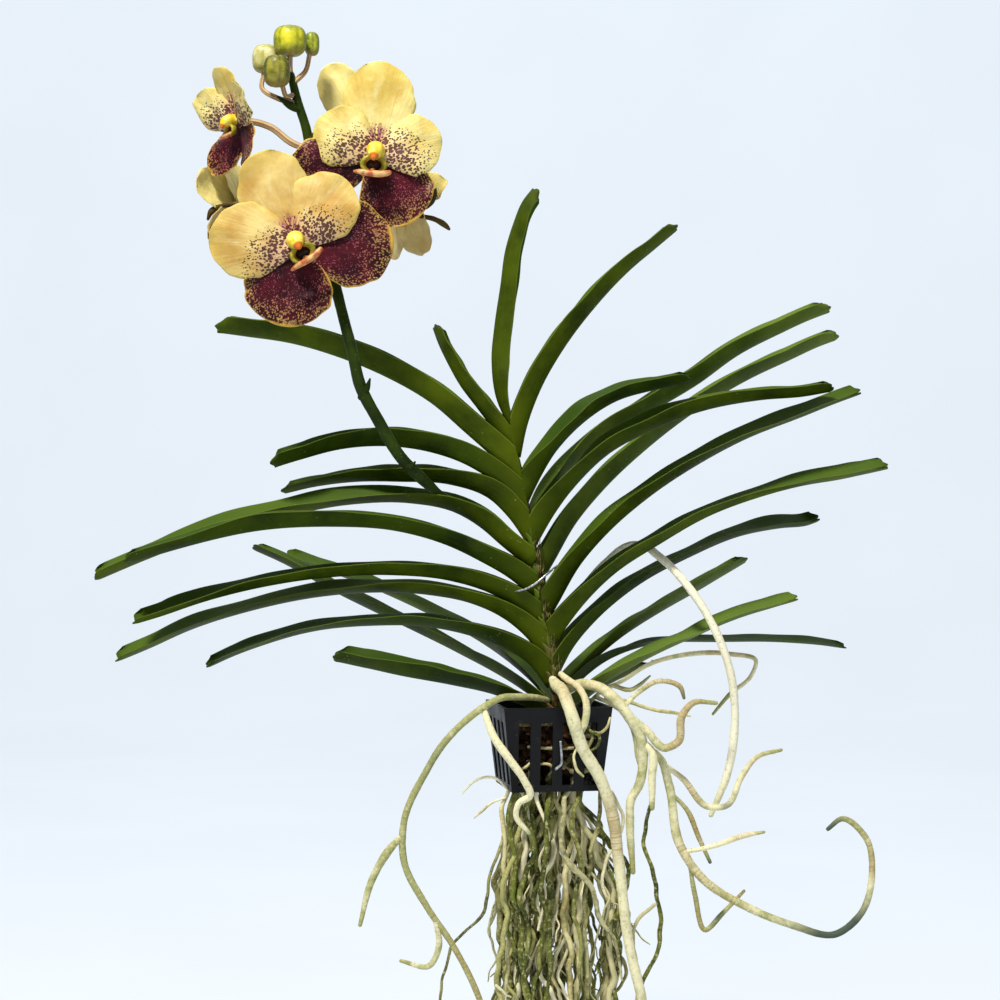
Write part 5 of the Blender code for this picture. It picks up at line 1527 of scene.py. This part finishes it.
def stalk_to_bloom(shape):
    """A flower stalk that ends square behind its bloom."""
    middle, front = bloom_axis(shape)
    rows = traced(shape["stalk"])
    radius = rows[-1][3]
    for back in (-DARK[0] + STALK_BEND, -DARK[0] + SEAT_GAP):
        rows.append((*(middle - back * front), radius))
    return smooth(rows, STALK_ROWS)


def stalk_to_bud(shape):
    """A stalk that ends just below its bud."""
    rows = traced(shape["stalk"])
    middle, before = Vector(seen(*shape["at"])), Vector(rows[-1][:3])
    way = (before - middle).normalized()
    wide, tall = (size * PIXEL / 2 for size in shape["size"])
    surface = 1 / math.sqrt((way.x**2 + way.y**2) / wide**2 + way.z**2 / tall**2)
    rows.append((*(middle + way * (surface + SEAT_GAP)), rows[-1][3]))
    return smooth(rows, STALK_ROWS)


def spike():
    """The flower spike with its bracts, the ribbed stalks of its buds and blooms, and dried bits."""
    draw = random.Random(SEED)
    made = tube(knobbly(spaced(traced(SPIKE), SPIKE_STEP), draw, SPIKE_KNOBS), SPIKE_SIDES)
    for points in BRACTS:
        made.join(tube(smooth(traced(points), BRACT_ROWS), SPIKE_SIDES))
    green = stalk_look("spike_green", "#142202", "#2a3c06", "#3e520e", 0.3)
    put("spike_stalk", made, green, "spike", "flower_spike")
    stalks = Shape()
    for rows in (*map(stalk_to_bud, BUDS.values()), *map(stalk_to_bloom, BLOOMS.values())):
        stalks.join(tube(rows, STALK_SIDES, STALK_RIBS, RIB_DEPTH))
    pink = stalk_look("stalk_pink", "#b9a070", "#cdb98c", "#96604f", 0.85)
    put("flower_stalks", stalks, pink, "spike")
    dry = Shape()
    for points in DRY_BITS:
        dry.join(tube(knobbly(smooth(traced(points), DRY_ROWS), draw, DRY_KNOBS), SPIKE_SIDES))
    brown = stalk_look("bract_brown", "#2a1c0a", "#54431c", "#6b6a24", 0.3)
    put("dried_bracts", dry, brown, "spike")


def bud(name, material, shape):
    """One closed bud with soft grooves between its panels."""
    wide, tall = (length * PIXEL / 2 for length in shape["size"])
    x, y, z = seen(*shape["at"])
    turns = ring_turns(BUD_SIDES)
    groove = (0.5 - 0.5 * np.cos(BUD_PANELS * (turns + math.pi / 2 + BUD_TURNS[name]))) ** 6
    points, values = [], []
    for polar in np.linspace(POLE_ANGLE, math.pi - POLE_ANGLE, BUD_RINGS):
        out = wide * (1 - abs(math.cos(polar)) ** BUD_SQUARE) ** (1 / BUD_SQUARE)
        out = out * (1 - BUD_GROOVE * groove * math.sin(polar))
        rise = tall * math.cos(polar) * (1 - BUD_POLE_GROOVE * groove)
        points.append(ring((x, y, z + rise), out, out, turns))
        # The first value is how squarely a point faces the front, which the material uses to paint light
        # and shade
        values.append(np.stack([-np.sin(turns) * math.sin(polar), groove,
                                np.full(BUD_SIDES, math.cos(polar))], 1))
    made = Shape(points, values, tube_faces(BUD_RINGS, BUD_SIDES))
    put(name + "_closed", made, material, "bud", name)


def outline(share, point):
    """Half a blade's width, as a share, at a share of its length."""
    rise = np.clip(share / BLADE_PEAK, 0, 1)
    waist = BLADE_WAIST + (1 - BLADE_WAIST) * np.sin(rise * math.pi / 2) ** 1.3
    round_tip = np.clip(1 - ((share - BLADE_PEAK) / (1 - BLADE_PEAK)) ** 2, 0, 1) ** point
    return np.where(share < BLADE_PEAK, waist, round_tip)


def spotting(x, y, up):
    """How strongly spots show: most near the middle, furthest out on the lower side."""
    far = np.hypot(x, y)
    off = np.cos(np.arctan2(y, x) - math.radians(up))
    reach = SPOTS_REACH[0] + (SPOTS_REACH[1] - SPOTS_REACH[0]) * (1 - np.clip(off, 0, 1))
    return np.clip(1 - far / reach, 0, 1)


def blushing(x, y, up):
    """How strongly the pink patch shows: only just above the column."""
    off = np.cos(np.arctan2(y, x) - math.radians(up))
    return np.clip(1 - np.hypot(x, y) / BLUSH_REACH, 0, 1) * np.clip(off, 0, 1) ** 6


def blade_relief(along, across, wide, puff, phases):
    """How far a blade bulges, ruffles, swells and tilts forward, and is grooved and bent back."""
    edge = np.abs(across)
    ruffle = waves(along, RUFFLE_WAVES, phases[3:6], np.sign(across) * 1.3)
    swell = np.sin(2 * math.pi * (0.9 * along + 0.45 * across) + phases[6])
    groove = np.exp(-(across / BLADE_GROOVE_HALF) ** 2)
    relief = puff * (1 - edge**2) * np.sin(math.pi * along**0.8)
    relief = relief + BLADE_RUFFLE * ruffle * edge**2 * along
    relief = relief + BLADE_SWELL * swell * along * (1 - 0.5 * edge)
    relief = relief + BLADE_TILT * math.sin(phases[7]) * wide * along
    relief = relief - BLADE_GROOVE * groove * np.sin(math.pi * along)
    return relief - BLADE_REFLEX * along**4 * (0.6 + 0.4 * math.sin(phases[8]))


def blade(length, width, angle, height, cup, puff, up, draw):
    """One petal or sepal in the bloom's own frame: +X right, +Y up, +Z to the front."""
    even = np.linspace(0, 1, BLADE_ROWS)[:, None]
    share = BLADE_CROWD * (1 - np.cos(math.pi * even)) / 2 + (1 - BLADE_CROWD) * even
    across = np.linspace(-1, 1, BLADE_COLUMNS)[None]
    across = np.sign(across) * np.abs(across) ** BLADE_SPREAD
    tip = (1 - BLADE_PEAK) * (1 - np.sqrt(1 - (BLADE_TIP_SHARE * across) ** 2))
    along = share - share**6 * tip
    side = share - share**6 * tip[:, :1]
    phases = [draw.uniform(0, 2 * math.pi) for _ in range(9)]
    frayed = 1 + BLADE_RAGGED * along * waves(along, RAGGED_WAVES, phases, np.sign(across) * 1.7)
    wide = across * outline(side, draw.uniform(*BLADE_TIPS)) * width / 2 * frayed
    lift = height + cup * along**2 + blade_relief(along, across, wide, puff, phases)
    thick = BLADE_THICK * (1 - 0.6 * np.abs(across) ** 5) * (1 - 0.5 * share**8)
    turn = math.radians(angle)
    x = length * along * math.cos(turn) - wide * math.sin(turn)
    y = length * along * math.sin(turn) + wide * math.cos(turn)
    front, back = (np.stack([x, y, lift + way * thick / 2], 2) for way in (1, -1))
    values = [np.stack([length * along, wide, np.full_like(wide, flag)], 2) for flag in (0, 1)]
    extras = {"reach": np.maximum(np.abs(across), share), "spotting": spotting(x, y, up),
              "blush": blushing(x, y, up)}
    extras = {key: np.tile(value.ravel(), 2) for key, value in extras.items()}
    return shell(front, back, values), extras


def hub(low, high):
    """A short round hub on the bloom's axis, which its blades grow from."""
    rows = [(0, 0, height, HUB_RADIUS) for height in (low, (low + high) / 2, high)]
    return tube(rows, HUB_SIDES, round_ends=False)


def part_of(shape, part):
    """Mark a lip's piece with its number."""
    for value in shape.values:
        value[:, 1] = part
    return shape


def mouth(low):
    """The mouth of a lip: a thick cup in front of the bloom's middle."""
    turns = ring_turns(CUP_SIDES)
    points, values = [], []
    for radius, rise, part in CUP:
        wide = radius * MM
        points.append(ring((0, CUP_DOWN, low + rise * MM), wide, wide * CUP_SQUASH, turns))
        values += [(0, part, 0)] * CUP_SIDES
    return Shape(points, values, tube_faces(len(CUP), CUP_SIDES))


def lip(roll, size):
    """The column, the mouth below it and the tongue in front, as large as the bloom asks for."""
    low = YELLOW[1] + GAP
    column, tongue = ([(0, -down * MM, low + ahead * MM, radius * MM) for ahead, down, radius in table]
                      for table in (COLUMN, TONGUE))
    ahead, down, _ = TONGUE[-1]
    bar = []
    for share in np.linspace(-1, 1, 2 * BAR_STEPS + 1):
        bar.append((share * BAR_HALF, (share**2 + share**3 - down) * MM,
                    low + (ahead - BAR_BACK * share**2) * MM,
                    (BAR_RADIUS - BAR_THIN * share**4 + BAR_UNEVEN * share) * MM))
    made = part_of(tube(smooth(column, 26), 24), 0)
    made.join(mouth(low))
    made.join(part_of(tube(smooth(tongue, 22), 14), 2))
    made.join(part_of(tube(smooth(bar, 34), 14), 2))
    foot = Vector((0, 0, low))
    return made.turned(Matrix.Rotation(math.radians(roll), 4, "Z") @ Matrix.Translation(foot)
                       @ Matrix.Scale(size, 4) @ Matrix.Translation(-foot))


def bloom(name, looks, blades, cup, roll, **shape):
    """A bloom: yellow petals and upper sepal, dark lateral sepals, lip with column."""
    middle, front = bloom_axis(shape)
    right = Vector((0, 0, 1)).cross(front).normalized()
    place = Matrix((right, front.cross(right), front)).transposed().to_4x4()
    place.translation = middle
    draw = random.Random(name)
    parts = []
    for (angle, length, width), height, puff in zip(blades, BLADE_HEIGHTS, PUFFS):
        parts.append(blade(length * MM, width * MM, angle, height, cup * MM, puff, blades[0][0], draw))
    for label, rise, chosen, slot in (("petals", YELLOW, parts[:3], "petal"),
                                      ("sepals", DARK, parts[3:], "dark_sepal")):
        made = hub(*rise)
        extras = {key: [np.full(made.count, value)] for key, value in HUB_VALUES.items()}
        for piece, extra in chosen:
            made.join(piece)
            for key, value in extra.items():
                extras[key].append(value)
        obj = put(f"{name}_{label}_fine", made.turned(place), looks[slot], slot, f"{name}_{label}")
        for key, value in extras.items():
            carry(obj.data, key, "FLOAT", value)
    size = min(1, blades[0][1] / LIP_FULL_FOR)
    put(name + "_lip_fine", lip(roll, size).turned(place), looks["lip"], "lip", name + "_lip")


def flowers():
    """All the buds and blooms."""
    looks = {"dark_sepal": netted_look(), "lip": lip_look()}
    warm = spotted_look("petal_warm", "#c0974a", "#ddc57c", "#e9dca8")
    lemon = spotted_look("petal_lemon", "#cbae50", "#e8da90", "#f1eab4")
    for name, shape in BUDS.items():
        bud(name, bud_look(name + "_skin", *BUD_COLOURS[name]), shape)
    for name, shape in BLOOMS.items():
        looks["petal"] = warm if name == WARM_BLOOM else lemon
        bloom(name, looks, **shape)


def wires():
    """The wire hook and the tie round the stem."""
    grey = wire_look()
    for name, shape in WIRES.items():
        rows = smooth([(*seen(*place), shape["thick"] / 2) for place in shape["places"]], 40)
        put(name + "_bent", tube(rows, 12), grey, "wire", name)


# Stage

def stage():
    """A pale floor that sweeps up behind."""
    rows = [(STAGE_FRONT, FLOOR_LEVEL), (SWEEP_FROM, FLOOR_LEVEL)]
    for turn in np.linspace(0, math.pi / 2, SWEEP_STEPS + 1)[1:]:
        rows.append((SWEEP_FROM + SWEEP_RADIUS * math.sin(turn),
                     FLOOR_LEVEL + SWEEP_RADIUS * (1 - math.cos(turn))))
    rows.append((SWEEP_FROM + SWEEP_RADIUS, STAGE_TOP))
    points = [(x, y, z) for y, z in rows for x in (-STAGE_HALF, STAGE_HALF)]
    mesh = bpy.data.meshes.new("studio_floor")
    mesh.from_pydata(points, [], grid_faces(len(rows), 2))
    mesh.shade_smooth()
    mesh.materials.append(backdrop_look())
    floor = add_object("studio_floor", mesh)


def lamp(name, place, size, power, aim=LAMP_AIM, tint=(1, 1, 1)):
    """A square soft light that points at a place."""
    data = bpy.data.lights.new(name, "AREA")
    data.size = size
    data.energy = power
    data.color = tint
    obj = add_object(name, data)
    obj.location = place
    obj.rotation_euler = (Vector(aim) - Vector(place)).to_track_quat("-Z", "Y").to_euler()


def lights():
    """The lamps and an even pale surround."""
    for name, shape in LAMPS.items():
        lamp(name, **shape)
    world = bpy.data.worlds.new("studio")
    bpy.context.scene.world = world
    world.use_nodes = True
    ground = world.node_tree.nodes["Background"]
    ground.inputs["Color"].default_value = WORLD_COLOUR
    ground.inputs["Strength"].default_value = WORLD_STRENGTH
    bpy.context.scene.view_settings.view_transform = "Standard"


def camera():
    """The camera, where the photograph was taken from."""
    data = bpy.data.cameras.new("photo_camera")
    data.lens = LENS
    data.sensor_width = SENSOR
    obj = add_object("photo_camera", data)
    obj.location = EYE
    obj.rotation_euler = (math.pi / 2, 0, 0)
    bpy.context.scene.camera = obj


camera()
stage()
lights()
basket()
bark()
curtain()
aerial_roots()
stem()
leaves()
spike()
flowers()
wires()
